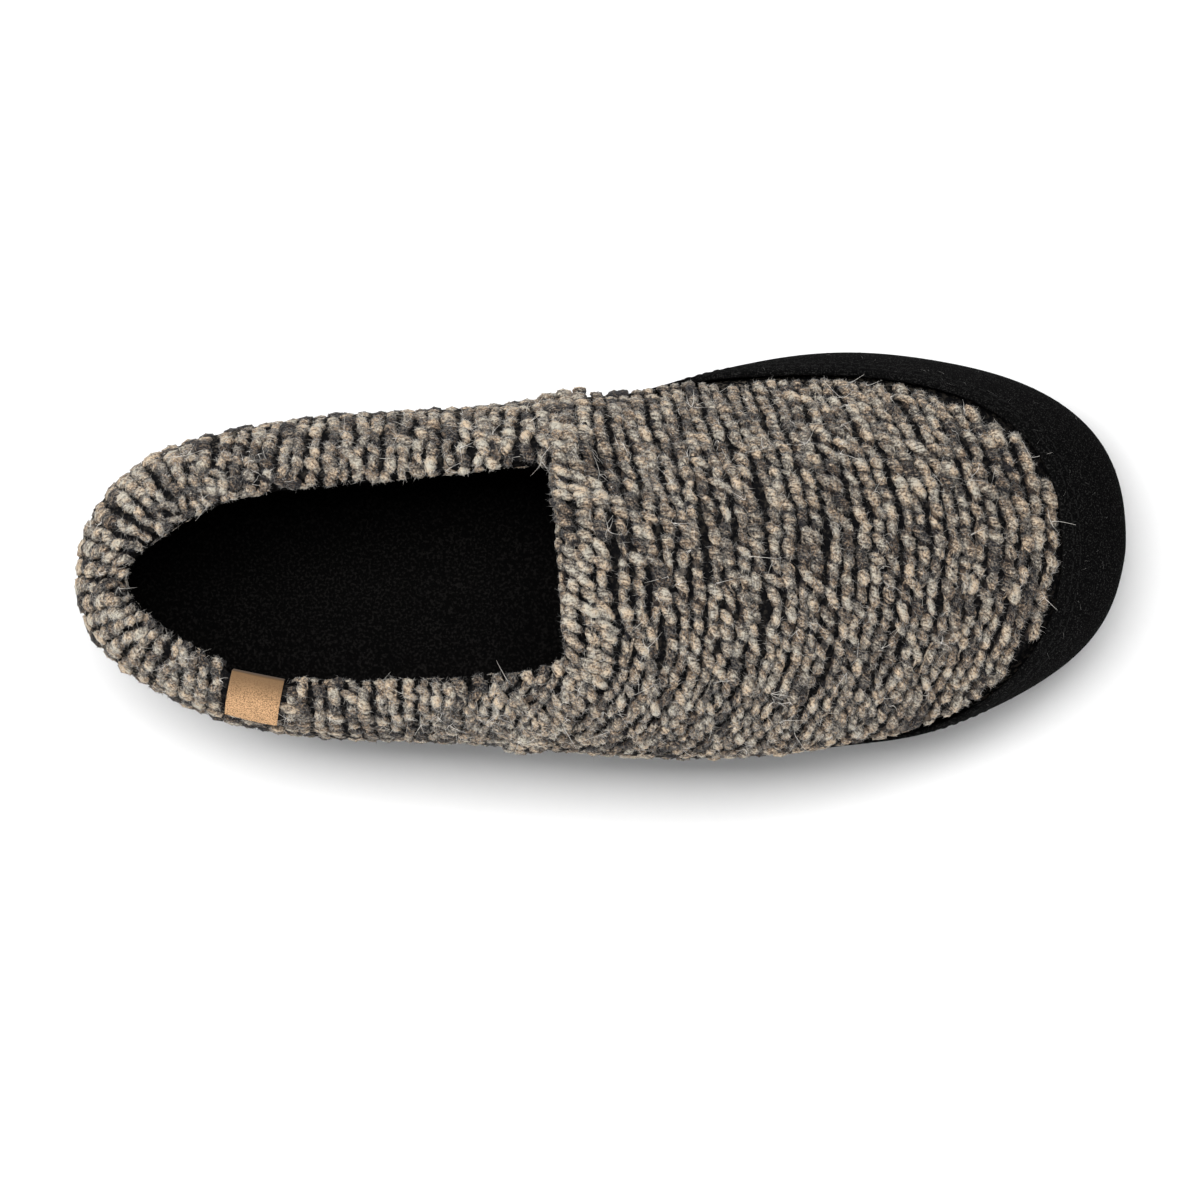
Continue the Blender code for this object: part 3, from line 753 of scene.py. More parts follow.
def lay_row(row, yarn, draw, pressed, pale, dark, loose):
    """Lays a row's slanted pale lumps, the dark strand that shows at their joints and a thin loose one."""
    points, normals, stops = resampled(row.points, row.normals, YARN_STEP, ROW.ease)
    covered = pressed(points) > TAB_HIDDEN
    if row.kind == "quarter" and covered.any():
        shown = int(np.argmax(covered)) + TAB_HIDES
        points, normals, stops = points[:shown], normals[:shown], stops[:shown]
    room = row_room(row._replace(points=points, normals=normals))
    across = unit(np.cross(unit(np.gradient(points, axis=0)), normals))
    flat = pressed(points)
    steep = 1 - flatness(normals)
    bulge = np.zeros(len(stops))
    for away, held in zip((stops, stops[-1] - stops), row.held):
        if held:
            bulge += smoothstep(*ROW.swell_from, away) * (1 - smoothstep(*ROW.swell_to, away))
    ends = smoothstep(0, ROW.end_length, np.minimum(stops, stops[-1] - stops))
    slim = (ROW.end_slim + (1 - ROW.end_slim) * ends) * (1 - ROW.tab_slim * flat) * room

    def random_line(size, wave):
        return size * slow_noise(draw, stops, wave)

    sway = random_line(*ROW.wander) + random_line(*ROW.tremble) + ROW.shared_sway * shared_sway(points)
    sway *= 1 - ROW.stray_sway + ROW.stray_sway * yarn.stray
    swell = yarn.swell + WAIST.swell * inner_waist(points)
    lift = yarn.lift - ROW.wall_depth * steep + swell * bulge - ROW.tab_depth * flat
    eased_stops = np.concatenate([[0.0], np.cumsum(np.diff(stops) / room[1:])])
    joints = np.interp(lump_run(draw, eased_stops[-1], yarn.lump), eased_stops, stops)
    course = np.column_stack([points, normals, across, sway, lift, slim, steep])
    lay_lumps(course, stops, joints, yarn, draw, pale)
    apart = np.abs(stops[:, None] - joints[None, :])
    show = draw.uniform(0.0, 1.0, len(joints))[apart.argmin(axis=1)]
    strands = [(
        dark, DARK.sides,
        sway + random_line(*DARK.wander),
        lift - DARK.depth + show * np.exp(-(apart.min(axis=1) / DARK.joint) ** 2),
        yarn.dark * (1 + random_line(*DARK.uneven)),
        DARK.tone + random_line(*DARK.shades),
    )]
    if row.kind != "edge":
        strands.append((
            loose, LOOSE.sides,
            sway + random_line(*LOOSE.wander) + random_line(*LOOSE.tremble),
            lift + LOOSE.height + random_line(*LOOSE.rise),
            LOOSE.radius + random_line(*LOOSE.uneven),
            LOOSE.tone + random_line(*LOOSE.shades),
        ))
    for mesh, sides, side, high, radius, shade in strands:
        middle = points + across * side[:, None] + normals * high[:, None]
        mesh.add_strand(middle, normals, radius * slim, sides, shade, stops, draw)


def lay_lumps(course, stops, joints, yarn, draw, pale):
    """Lays a short strand for each lump, slanted across its row, with ends that dip under its neighbours."""
    count = len(joints) - 1
    middles = (joints[:-1] + joints[1:]) / 2
    halves = np.diff(joints) / 2 * draw.uniform(*LUMP.lap, count) * yarn.lap
    first, last = np.maximum(middles - halves, 0), np.minimum(middles + halves, stops[-1])
    t = np.linspace(0, 1, LUMP.rings)
    places = first[:, None] + (last - first)[:, None] * t
    spread = between(stops, course, places)
    points, normals, across = spread[..., 0:3], unit(spread[..., 3:6]), unit(spread[..., 6:9])
    sway, lift, slim, steep = [spread[..., c] for c in range(9, 13)]
    t = 2 * t - 1
    fat = np.clip(draw.normal(1.0, LUMP.fat, count), *LUMP.fat_range)[:, None]
    rise = draw.normal(0.0, LUMP.rise, count)[:, None]
    slip = draw.normal(0.0, LUMP.slip, count)[:, None]
    slant = draw.normal(yarn.slant, LUMP.lean * yarn.stray, count)[:, None]
    wall = steep.mean(axis=1)
    rare = draw.uniform(size=count) < LUMP.dark_share * yarn.stray + WALL.dark_share * wall
    marl = np.where(rare, LUMP.dark - WALL.dark * wall, draw.normal(*LUMP.tone, count))[:, None]
    side = sway + slip + slant * t * (1 - WALL.slant * steep)
    dip = (LUMP.dip - WALL.dip * steep) * np.abs(t) ** LUMP.dip_power
    high = lift + rise * (1 - WALL.rise * steep) + LUMP.crown - dip
    middle = points + across * side[..., None] + normals * high[..., None]
    radius = yarn.pale * fat * np.sqrt(1 - LUMP.taper * t ** 2) * slim * (1 + WALL.fat * steep)
    # Painted light: lumps at the back of the heel are paler
    heel = 1 - smoothstep(*PAINTED_HEEL_LIGHT.along, points[..., 0])
    # A lump's tone darkens towards its ends, where they dip under its neighbours, and more on walls: painted
    # shade, and the charcoal of the marl showing there
    shade = (LUMP.shade + WALL.shade * steep) * np.abs(t) ** LUMP.shade_power
    tone = marl + yarn.bright + PAINTED_HEEL_LIGHT.bright * heel - shade
    squash = 1 - WALL.squash * steep
    for i in range(count):
        strand = middle[i], normals[i], radius[i], LUMP.sides, tone[i], places[i]
        pale.add_strand(*strand, draw, squash[i])


def object_from_arrays(name, points, faces, material):
    """A smooth mesh object from points in millimetres and arrays of faces, one for each corner count."""
    mesh = bpy.data.meshes.new(name)
    mesh.vertices.add(len(points))
    mesh.vertices.foreach_set("co", (points * MM).astype(np.float32).ravel())
    corners = np.concatenate([group.ravel() for group in faces]).astype(np.int32)
    sizes = np.concatenate([np.full(len(group), group.shape[1]) for group in faces]).astype(np.int32)
    mesh.loops.add(len(corners))
    mesh.loops.foreach_set("vertex_index", corners)
    mesh.polygons.add(len(sizes))
    starts = np.concatenate([[0], np.cumsum(sizes)[:-1]])
    mesh.polygons.foreach_set("loop_start", starts.astype(np.int32))
    mesh.update(calc_edges=True)
    mesh.validate()
    mesh.shade_smooth()
    mesh.materials.append(material)
    made = bpy.data.objects.new(name, mesh)
    bpy.context.scene.collection.objects.link(made)
    return made


def write_tone(mesh, values):
    """Stores a tone with one value for each point."""
    tone = mesh.attributes.new("tone", "FLOAT", "POINT")
    tone.data.foreach_set("value", values.astype(np.float32))


def write_map(mesh, values):
    """Stores a map with one value for each point."""
    layer = mesh.uv_layers.new(name="yarn")
    corner = np.empty(len(mesh.loops), dtype=np.int32)
    mesh.loops.foreach_get("vertex_index", corner)
    layer.data.foreach_set("uv", values[corner].astype(np.float32).ravel())


def spikes(roots, directions, lengths, radius):
    """Short straight hairs with three sides and a point, and the number of points in each."""
    side = unit(np.cross(directions, np.roll(directions, 1, axis=1) + HAIR_NUDGE))
    other = np.cross(directions, side)
    turn = np.arange(HAIR_SIDES) / HAIR_SIDES * ROUND
    spread = side[:, None] * np.cos(turn)[:, None] + other[:, None] * np.sin(turn)[:, None]
    foot = roots[:, None] + radius * spread
    tip = roots + directions * lengths[:, None]
    points = np.concatenate([foot, tip[:, None]], axis=1)
    faces = np.array([[0, 1, 3], [1, 2, 3], [2, 0, 3], [2, 1, 0]])
    each = points.shape[1]
    faces = (faces[None] + each * np.arange(len(roots))[:, None, None]).reshape(-1, 3)
    return points.reshape(-1, 3), [faces], each


def curls(roots, directions, lengths, bends, radius):
    """Thin three-sided hairs that set out from roots, bend and taper, and the number of points in each."""
    t = np.linspace(0, 1, CURL_STEPS + 1)
    lean = directions[:, None] * t[None, :, None] + bends[:, None] * (t ** 2)[None, :, None]
    path = roots[:, None] + lengths[:, None, None] * lean
    forward = unit(np.gradient(path, axis=1))
    side = unit(np.cross(forward, unit(bends + HAIR_NUDGE)[:, None]))
    other = np.cross(forward, side)
    thin = radius * (1 - HAIR_TAPER * t)[None, :, None, None]
    turn = np.arange(HAIR_SIDES) / HAIR_SIDES * ROUND
    spread = side[:, :, None] * np.cos(turn)[:, None] + other[:, :, None] * np.sin(turn)[:, None]
    ring = path[:, :, None] + thin * spread
    each = len(t) * HAIR_SIDES
    index = np.arange(len(roots) * each).reshape(len(roots), len(t), HAIR_SIDES)
    around = np.roll(index, -1, axis=2)
    quads = np.stack([index[:, :-1], around[:, :-1], around[:, 1:], index[:, 1:]], axis=-1).reshape(-1, 4)
    return ring.reshape(-1, 3), [quads, index[:, 0, ::-1], index[:, -1]], each


# Shader groups and materials


def new_group(name, inputs, outputs):
    """An empty shader group with the given sockets."""
    group = bpy.data.node_groups.new(name, "ShaderNodeTree")
    for socket, kind, value in inputs:
        made = group.interface.new_socket(name=socket, in_out="INPUT", socket_type=kind)
        if value is not None:
            made.default_value = value
    for socket, kind in outputs:
        group.interface.new_socket(name=socket, in_out="OUTPUT", socket_type=kind)
    return group, group.nodes.new("NodeGroupInput"), group.nodes.new("NodeGroupOutput")


def math_node(tree, operation, one, two=None, three=None, clamp=False):
    node = tree.nodes.new("ShaderNodeMath")
    node.operation = operation
    node.use_clamp = clamp
    for socket, value in zip(node.inputs, (one, two, three)):
        if value is None:
            continue
        if isinstance(value, (int, float)):
            socket.default_value = value
        else:
            tree.links.new(value, socket)
    return node.outputs[0]


def off_middle(tree, value, middle, size, clamp=False):
    """How far a value lies from a middle, times a size."""
    return math_node(tree, "MULTIPLY", math_node(tree, "SUBTRACT", value, middle), size, clamp=clamp)


def stored_tone(tree):
    """The tone that is stored at the points of a mesh."""
    node = tree.nodes.new("ShaderNodeAttribute")
    node.attribute_name = "tone"
    return node.outputs["Fac"]


def noise_node(tree, vector, scale, detail=2.0, rough=0.5):
    node = tree.nodes.new("ShaderNodeTexNoise")
    node.inputs["Detail"].default_value = detail
    node.inputs["Roughness"].default_value = rough
    if isinstance(scale, (int, float)):
        node.inputs["Scale"].default_value = scale
    else:
        tree.links.new(scale, node.inputs["Scale"])
    tree.links.new(vector, node.inputs["Vector"])
    return node.outputs["Fac"]


def stretched(tree, vector, scale):
    node = tree.nodes.new("ShaderNodeMapping")
    node.inputs["Scale"].default_value = scale
    tree.links.new(vector, node.inputs["Vector"])
    return node.outputs["Vector"]


def mixed_colour(tree, share, one, two):
    node = tree.nodes.new("ShaderNodeMix")
    node.data_type = "RGBA"
    tree.links.new(share, node.inputs["Factor"])
    for socket, value in (("A", one), ("B", two)):
        place = next(s for s in node.inputs if s.name == socket and s.type == "RGBA")
        if isinstance(value, bpy.types.NodeSocket):
            tree.links.new(value, place)
        else:
            place.default_value = (*value, 1.0)
    return next(s for s in node.outputs if s.type == "RGBA")


def marled_wool_group(knit):
    """Colour and height of twisted wool: a tone from 0 to 1, broken up by streaks along it and by specks."""
    group, given, out = new_group(
        "marled_wool",
        [("Tone", "NodeSocketFloat", 0.5), ("Yarn", "NodeSocketVector", None),
         ("Place", "NodeSocketVector", None), ("Streak", "NodeSocketFloat", 0.4),
         ("Speck", "NodeSocketFloat", 0.35)],
        [("Color", "NodeSocketColor"), ("Height", "NodeSocketFloat")])
    streak = noise_node(group, stretched(group, given.outputs["Yarn"], (4.0, 11.0, 1.0)), 1.0, 2.0, 0.6)
    speck = noise_node(group, given.outputs["Place"], 1500.0, 2.0, 0.65)
    patch = noise_node(group, given.outputs["Place"], 260.0, 1.0, 0.5)
    streaked = off_middle(group, streak, 0.5, given.outputs["Streak"])
    specked = off_middle(group, speck, 0.5, given.outputs["Speck"])
    patched = off_middle(group, patch, 0.5, 0.3)
    total = math_node(group, "ADD", given.outputs["Tone"], math_node(group, "ADD", streaked, specked))
    total = math_node(group, "ADD", total, patched, clamp=True)
    ramp = group.nodes.new("ShaderNodeValToRGB")
    stops = ramp.color_ramp.elements
    stops[0].position = 0.06
    stops[0].color = (*knit.charcoal, 1)
    stops[1].position = 1.0
    stops[1].color = (*knit.oatmeal, 1)
    middle = stops.new(0.55)
    middle.color = (*knit.taupe, 1)
    group.links.new(total, ramp.inputs["Fac"])
    warm = noise_node(group, given.outputs["Place"], 330.0, 0.0, 0.5)
    warm = math_node(group, "MULTIPLY_ADD", warm, 3.0, -1.0, clamp=True)
    tint = group.nodes.new("ShaderNodeVectorMath")
    tint.operation = "MULTIPLY"
    group.links.new(ramp.outputs["Color"], tint.inputs[0])
    group.links.new(mixed_colour(group, warm, (0.93, 1.0, 1.07), (1.07, 0.985, 0.91)), tint.inputs[1])
    group.links.new(tint.outputs[0], out.inputs["Color"])
    group.links.new(math_node(group, "ADD", streak, speck), out.inputs["Height"])
    return group


def short_nap_group():
    """Colour and height of a short nap: fine flecks over a ground colour, brushed into soft patches."""
    group, given, out = new_group(
        "short_nap",
        [("Place", "NodeSocketVector", None), ("Ground", "NodeSocketColor", (0.01, 0.01, 0.01, 1)),
         ("Fleck", "NodeSocketColor", (0.03, 0.03, 0.03, 1)), ("Grain", "NodeSocketFloat", 1500.0),
         ("Amount", "NodeSocketFloat", 0.5), ("Cut", "NodeSocketFloat", 0.5)],
        [("Color", "NodeSocketColor"), ("Height", "NodeSocketFloat")])
    grain = noise_node(group, given.outputs["Place"], given.outputs["Grain"], 2.0, 0.6)
    brushed = noise_node(group, stretched(group, given.outputs["Place"], (1.0, 0.45, 1.0)), 150.0, 2.0, 0.5)
    sharp = off_middle(group, grain, given.outputs["Cut"], 7.0, clamp=True)
    share = math_node(group, "MULTIPLY", sharp, math_node(group, "ADD", brushed, given.outputs["Amount"]))
    share = math_node(group, "MULTIPLY", share, given.outputs["Amount"], clamp=True)
    colour = mixed_colour(group, share, given.outputs["Ground"], given.outputs["Fleck"])
    group.links.new(colour, out.inputs["Color"])
    height = math_node(group, "ADD", grain, math_node(group, "MULTIPLY", brushed, 0.6))
    group.links.new(height, out.inputs["Height"])
    return group


def place_group(tree, name, **values):
    node = tree.nodes.new("ShaderNodeGroup")
    node.node_tree = bpy.data.node_groups[name]
    for key, value in values.items():
        if isinstance(value, bpy.types.NodeSocket):
            tree.links.new(value, node.inputs[key])
        else:
            node.inputs[key].default_value = value
    return node


def new_material(name, roughness, sheen=0.0, sheen_rough=0.5, specular=0.5):
    """A material with its Principled shader, and the tree that feeds it."""
    material = bpy.data.materials.new(name)
    material.use_nodes = True
    tree = material.node_tree
    shader = tree.nodes["Principled BSDF"]
    shader.inputs["Roughness"].default_value = roughness
    shader.inputs["Sheen Weight"].default_value = sheen
    shader.inputs["Sheen Roughness"].default_value = sheen_rough
    shader.inputs["Specular IOR Level"].default_value = specular
    return material, tree, shader


def add_bump(tree, shader, height, strength, distance):
    bump = tree.nodes.new("ShaderNodeBump")
    bump.inputs["Strength"].default_value = strength
    bump.inputs["Distance"].default_value = distance
    tree.links.new(height, bump.inputs["Height"])
    tree.links.new(bump.outputs["Normal"], shader.inputs["Normal"])


def object_place(tree):
    return tree.nodes.new("ShaderNodeTexCoord").outputs["Object"]


def yarn_material(name, streak, speck, sheen):
    """Wool yarn whose tone, painted light and shade included, is stored at its points."""
    material, tree, shader = new_material(name, 0.95, sheen=sheen, sheen_rough=0.6, specular=0.05)
    yarn = tree.nodes.new("ShaderNodeUVMap")
    yarn.uv_map = "yarn"
    wool = place_group(
        tree, "marled_wool", Tone=stored_tone(tree), Yarn=yarn.outputs["UV"], Place=object_place(tree),
        Streak=streak, Speck=speck)
    tree.links.new(wool.outputs["Color"], shader.inputs["Base Color"])
    add_bump(tree, shader, wool.outputs["Height"], 0.8, 0.0004)
    return material


def nap_material(name, ground, fleck, grain, amount, cut, sheen, strength, distance):
    """Suede or fleece: a short nap over a ground colour. The stored tone stands for an amount of None; on the
    tab it is painted shade.
    """
    material, tree, shader = new_material(name, 1.0, sheen=sheen, sheen_rough=0.45, specular=0.02)
    if amount is None:
        amount = stored_tone(tree)
    nap = place_group(
        tree, "short_nap", Place=object_place(tree), Ground=(*ground, 1), Fleck=(*fleck, 1), Grain=grain,
        Amount=amount, Cut=cut)
    tree.links.new(nap.outputs["Color"], shader.inputs["Base Color"])
    add_bump(tree, shader, nap.outputs["Height"], strength, distance)
    return material


def rubber_material(colour):
    """Moulded rubber with a fine pebble and dusty patches."""
    material, tree, shader = new_material("black_rubber", 0.7, specular=0.35)
    place = object_place(tree)
    pebble = noise_node(tree, place, 1400.0, 1.0, 0.4)
    dust = noise_node(tree, place, 60.0, 4.0, 0.6)
    share = off_middle(tree, dust, 0.4, 1.2, clamp=True)
    pale = tuple(c * 2.2 + 0.004 for c in colour)
    tree.links.new(mixed_colour(tree, share, tuple(colour), pale), shader.inputs["Base Color"])
    rough = math_node(tree, "ADD", math_node(tree, "MULTIPLY", dust, 0.25), 0.5)
    tree.links.new(rough, shader.inputs["Roughness"])
    add_bump(tree, shader, pebble, 0.35, 0.0003)
    return material


def thread_material(name, colour):
    """Twisted sewing thread."""
    material, tree, shader = new_material(name, 0.85, specular=0.08)
    place = object_place(tree)
    twist = noise_node(tree, place, 2600.0, 1.0, 0.5)
    pale = tuple(c * 2.5 for c in colour)
    tree.links.new(mixed_colour(tree, twist, tuple(colour), pale), shader.inputs["Base Color"])
    add_bump(tree, shader, twist, 0.5, 0.0002)
    return material


def fibre_material():
    """Loose hairs whose tone is stored at their points, from charcoal to nearly white."""
    material, tree, shader = new_material("loose_fibre", 0.85, sheen=0.1, specular=0.2)
    varied = noise_node(tree, object_place(tree), 900.0, 1.0, 0.5)
    share = math_node(tree, "ADD", stored_tone(tree), off_middle(tree, varied, 0.5, 0.3), clamp=True)
    colour = mixed_colour(tree, share, (0.02, 0.02, 0.023), (0.85, 0.81, 0.75))
    tree.links.new(colour, shader.inputs["Base Color"])
    return material


def floor_material(colour):
    """Pale paper sweep with a faint tooth."""
    material, tree, shader = new_material("pale_floor", 0.9, specular=0.1)
    tooth = noise_node(tree, object_place(tree), 300.0, 2.0, 0.5)
    dim = tuple(c * 0.985 for c in colour)
    tree.links.new(mixed_colour(tree, tooth, tuple(colour), dim), shader.inputs["Base Color"])
    return material


def finish_piece(piece, slot, *nodes):
    """Rides the piece on the shoe and hides the nodes it stands for; its slot is not used."""
    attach(piece, "root")
    if nodes:
        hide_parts(*nodes)
    return piece


# Operators


class SLIPPER_OT_groups(bpy.types.Operator):
    """Build the shader groups that several finishes share"""

    bl_idname = "slipper.groups"
    bl_label = "Shared finishes"

    def execute(self, context):
        marled_wool_group(context.scene.slipper_knit)
        short_nap_group()
        return {"FINISHED"}


class SLIPPER_OT_lining(bpy.types.Operator):
    """Make the fleece lining, and the dark ground that the knitted rows lie on"""

    bl_idname = "slipper.lining"
    bl_label = "Lining"

    def execute(self, context):
        band = context.scene.slipper_band
        lining = smooth_copy("upper", "fleece_lining", 1)
        surface = surface_of(lining)
        out = facing_out(surface.points, surface.normals)
        steep = 1 - flatness(surface.normals)
        under = under_tab()(surface.points)
        sunk = (GROUND.depth - GROUND.wall * steep) * smoothstep(*GROUND.facing, out) * (1 - under)
        sunk = sunk + GROUND.under_tab * under
        points = surface.points - surface.normals * sunk[:, None]
        points[:, :2] -= under[:, None] * tab_tuck(points, GROUND.before_tab)
        move_points(lining, points)
        fleece = nap_material(
            "black_fleece", band.fleece, (0.015, 0.0137, 0.013), 1300.0, 0.45, 0.5, 0.0, 0.7, 0.0006)
        ground = nap_material(
            "charcoal_ground", (0.005, 0.005, 0.0056), (0.09, 0.078, 0.064), 700.0, None, 0.5,
            0.0, 0.8, 0.0008)
        write_tone(lining.data, GROUND.tone + GROUND.wall_tone * steep)
        lining.data.materials.append(fleece)
        lining.data.materials.append(ground)
        for face in lining.data.polygons:
            face.material_index = int(out[list(face.vertices)].mean() > GROUND.border)
        finish_piece(lining, "fleece", "upper")
        return {"FINISHED"}


class SLIPPER_OT_knit(bpy.types.Operator):
    """Knit the rows from a pale, a dark and a loose strand, and raise the wool's fuzz"""

    bl_idname = "slipper.knit"
    bl_label = "Knit"

    def execute(self, context):
        knit = context.scene.slipper_knit
        draw = np.random.default_rng(knit.seed)
        start = smooth_copy("upper", "knit_guide", 1)
        surface = surface_of(start)
        bpy.data.objects.remove(start)
        pressed = under_tab()
        pale, dark, lump = knit.pale_yarn / MM / 2, knit.dark_yarn / MM / 2, knit.lump / MM
        lift = knit.hem_lift / MM
        yarns = {
            "vamp": Yarn(pale * 0.9, dark, -0.8, lump, -0.04, -1.0, 1.12, 0.5, 1.0),
            "quarter": Yarn(pale * 0.95, dark, -0.8, lump, -0.03, -0.8, 1.05, 0.5, 1.5),
            "hem": Yarn(pale, dark, -0.8 + lift, lump * 0.85, 0.05, -2.0, 1.12, 1.5, 1.0),
            "edge": Yarn(pale * 0.8, dark * 0.8, -0.7, lump * 0.9, 0.0, -1.0, 1.25, 0.0, 1.0),
        }
        front, back, dark_rows, loose_rows = YarnMesh(), YarnMesh(), YarnMesh(), YarnMesh()
        for row in knit_rows(surface, knit.row_pitch / MM, draw):
            mesh = front if row.kind in ("vamp", "hem") else back
            lay_row(row, yarns[row.kind], draw, pressed, mesh, dark_rows, loose_rows)
        wool = yarn_material("marled_yarn", 1.6, 2.3, 0.06)
        finish_piece(front.to_object("knit_vamp", wool), "knit")
        finish_piece(back.to_object("knit_quarters", wool), "knit")
        charcoal = yarn_material("charcoal_yarn", 0.6, 0.5, 0.0)
        finish_piece(dark_rows.to_object("knit_charcoal", charcoal), "knit")
        finish_piece(loose_rows.to_object("knit_loose_ply", wool), "knit")
        self.raise_fuzz(knit, draw, {"vamp": front, "quarters": back})
        return {"FINISHED"}

    def raise_fuzz(self, knit, draw, yarns):
        """Short hairs over the yarn, and longer pale fibres that lie on it."""
        wool = fibre_material()
        for name, mesh in yarns.items():
            kept = np.concatenate(mesh.tops)
            roots, ups, runs, tones = [
                np.concatenate(a)[kept] for a in (mesh.points, mesh.ups, mesh.runs, mesh.tones)]
            for hair in HAIRS:
                curled = hair.kind == "fibres"
                count = knit.fibres if curled else knit.fuzz
                pick = np.repeat(draw.integers(0, len(roots), count // hair.tuft), hair.tuft)
                up = ups[pick]
                calm = CALM + (1 - CALM) * flatness(up)
                heading = unit(along_surface(draw.standard_normal((count, 3)), up))
                if not curled:
                    heading = heading + runs[pick] * draw.choice((-1, 1), count)[:, None]
                heading = unit(heading + up * (draw.uniform(*hair.rise, count) * calm)[:, None])
                if curled:
                    bends = FIBRE.bend * draw.standard_normal((count, 3)) - FIBRE.sink * up
                    lengths = draw.uniform(*hair.reach, count) * calm
                    points, faces, each = curls(roots[pick], heading, lengths, bends, hair.radius)
                    shades = draw.uniform(*FIBRE.tone, count)
                else:
                    lengths = draw.uniform(*hair.reach, count) * calm
                    points, faces, each = spikes(roots[pick], heading, lengths, hair.radius)
                    darker = draw.uniform(size=count) < FUZZ.dark_share
                    shades = FUZZ.yarn * tones[pick] + draw.normal(0.0, FUZZ.spread, count)
                    shades = np.clip(np.where(darker, FUZZ.dark, shades), *FUZZ.limits)
                piece = object_from_arrays(f"wool_{hair.kind}_{name}", points, faces, wool)
                write_tone(piece.data, np.repeat(shades, each))
                finish_piece(piece, "knit")


class SLIPPER_OT_rand(bpy.types.Operator):
    """Wrap the suede rand round the sole and sew its two seams"""

    bl_idname = "slipper.rand"
    bl_label = "Rand"

    def execute(self, context):
        band = context.scene.slipper_band
        rand = smooth_copy("rand", "suede_rand", 2)
        suede = nap_material(
            "black_suede", band.suede, band.suede_fleck, 2300.0, 0.55, 0.53, 0.0, 0.6, 0.0004)
        rand.data.materials.append(suede)
        finish_piece(rand, "suede", "rand")
        surface = surface_of(rand)
        self.sew(surface, band)
        self.shed_lint(surface, band.lint, np.random.default_rng(context.scene.slipper_knit.seed))
        return {"FINISHED"}

    def shed_lint(self, surface, count, draw):
        """Lays a few loose hairs from the wool on the outer face of the rand."""
        outer = np.flatnonzero(facing_out(surface.points, surface.normals) > LINT.facing)
        pick = draw.choice(outer, count)
        up = surface.normals[pick]
        heading = unit(along_surface(draw.standard_normal((count, 3)), up)) + LINT.rise * up
        bends = along_surface(LINT.bend * draw.standard_normal((count, 3)), up)
        roots = surface.points[pick] + LINT.height * up
        points, faces, each = curls(roots, heading, draw.uniform(*LINT.reach, count), bends, LINT.radius)
        lint = object_from_arrays("rand_lint", points, faces, bpy.data.materials["loose_fibre"])
        write_tone(lint.data, np.repeat(draw.uniform(*LINT.tone, count), each))
        finish_piece(lint, "suede")

    def sew(self, surface, band):
        """Stitches on the outer face of the rand, along lines at even distances from its top edge."""
        turn = rand_turn(surface.points[:, :2])
        edge = []
        for place in np.linspace(-math.pi, math.pi, SEAM.places, endpoint=False):
            close = close_turns(turn, place, SEAM.reach)
            edge.append(surface.points[close[surface.points[close, 2].argmax()]])
        edge = np.array(edge)
        for _ in range(SEAM.ease):
            edge = (np.roll(edge, 1, axis=0) + 2 * edge + np.roll(edge, -1, axis=0)) / 4
        step = np.roll(edge, -1, axis=0) - edge
        dense = np.concatenate([edge + step * k / SEAM.finer for k in range(SEAM.finer)])
        tree = KDTree(len(dense))
        for i, point in enumerate(dense):
            tree.insert(point, i)
        tree.balance()
        below = np.array([tree.find(point)[2] for point in surface.points])
        outer = part_of(surface, facing_out(surface.points, surface.normals) > SEAM.facing)
        seams = YarnMesh()
        for distance in (band.seam_near / MM, band.seam_far / MM):
            for points, normals in level_lines(outer, below, distance):
                if len(points) > SEAM.shortest:
                    self.sew_line(seams, points, normals, band.seam_stitch / MM)
        thread = thread_material("black_thread", (0.0035, 0.0035, 0.0035))
        finish_piece(seams.to_object("rand_stitches", thread), "suede")

    def sew_line(self, seams, points, normals, stitch):
        """Stitches end to end along a line."""
        rings = len(STITCH.swell)
        points, normals, stops = resampled(points, normals, stitch / rings, SEAM.line_ease)
        turn = np.arange(STITCH.sides) / STITCH.sides * ROUND
        wide = (STITCH.wide * STITCH.swell[:, None] * np.cos(turn))[..., None]
        tall = (STITCH.tall * STITCH.swell[:, None] * np.sin(turn))[..., None]
        for i in range(len(stops) // rings):
            span = slice(i * rings, i * rings + rings)
            line, up = points[span], normals[span]
            forward = unit(np.gradient(line, axis=0))
            across = unit(np.cross(forward, up))
            ring = line[:, None] + up[:, None] * STITCH.rise[:, None, None]
            ring = ring + across[:, None] * wide + up[:, None] * tall
            seams.store(ring, np.full(ring.shape[:2], STITCH.tone), stops[span], turn, up, forward)


class SLIPPER_OT_outsole(bpy.types.Operator):
    """Mould the rubber outsole with eased edges"""

    bl_idname = "slipper.outsole"
    bl_label = "Outsole"

    def execute(self, context):
        sole = node_copy("outsole", "rubber_outsole")
        ease_edges(sole, SOLE_BEVEL, SOLE_SHARP)
        bpy.ops.object.shade_smooth_by_angle(angle=SOLE_SHARP)
        sole.data.materials.append(rubber_material(context.scene.slipper_band.rubber))
        finish_piece(sole, "rubber", "outsole")
        return {"FINISHED"}


class SLIPPER_OT_footbed(bpy.types.Operator):
    """Lay the padded fleece footbed"""

    bl_idname = "slipper.footbed"
    bl_label = "Footbed"

    def execute(self, context):
        bed = smooth_copy("insole", "fleece_footbed", 3)
        bed.data.materials.append(bpy.data.materials["black_fleece"])
        finish_piece(bed, "fleece", "insole")
        return {"FINISHED"}


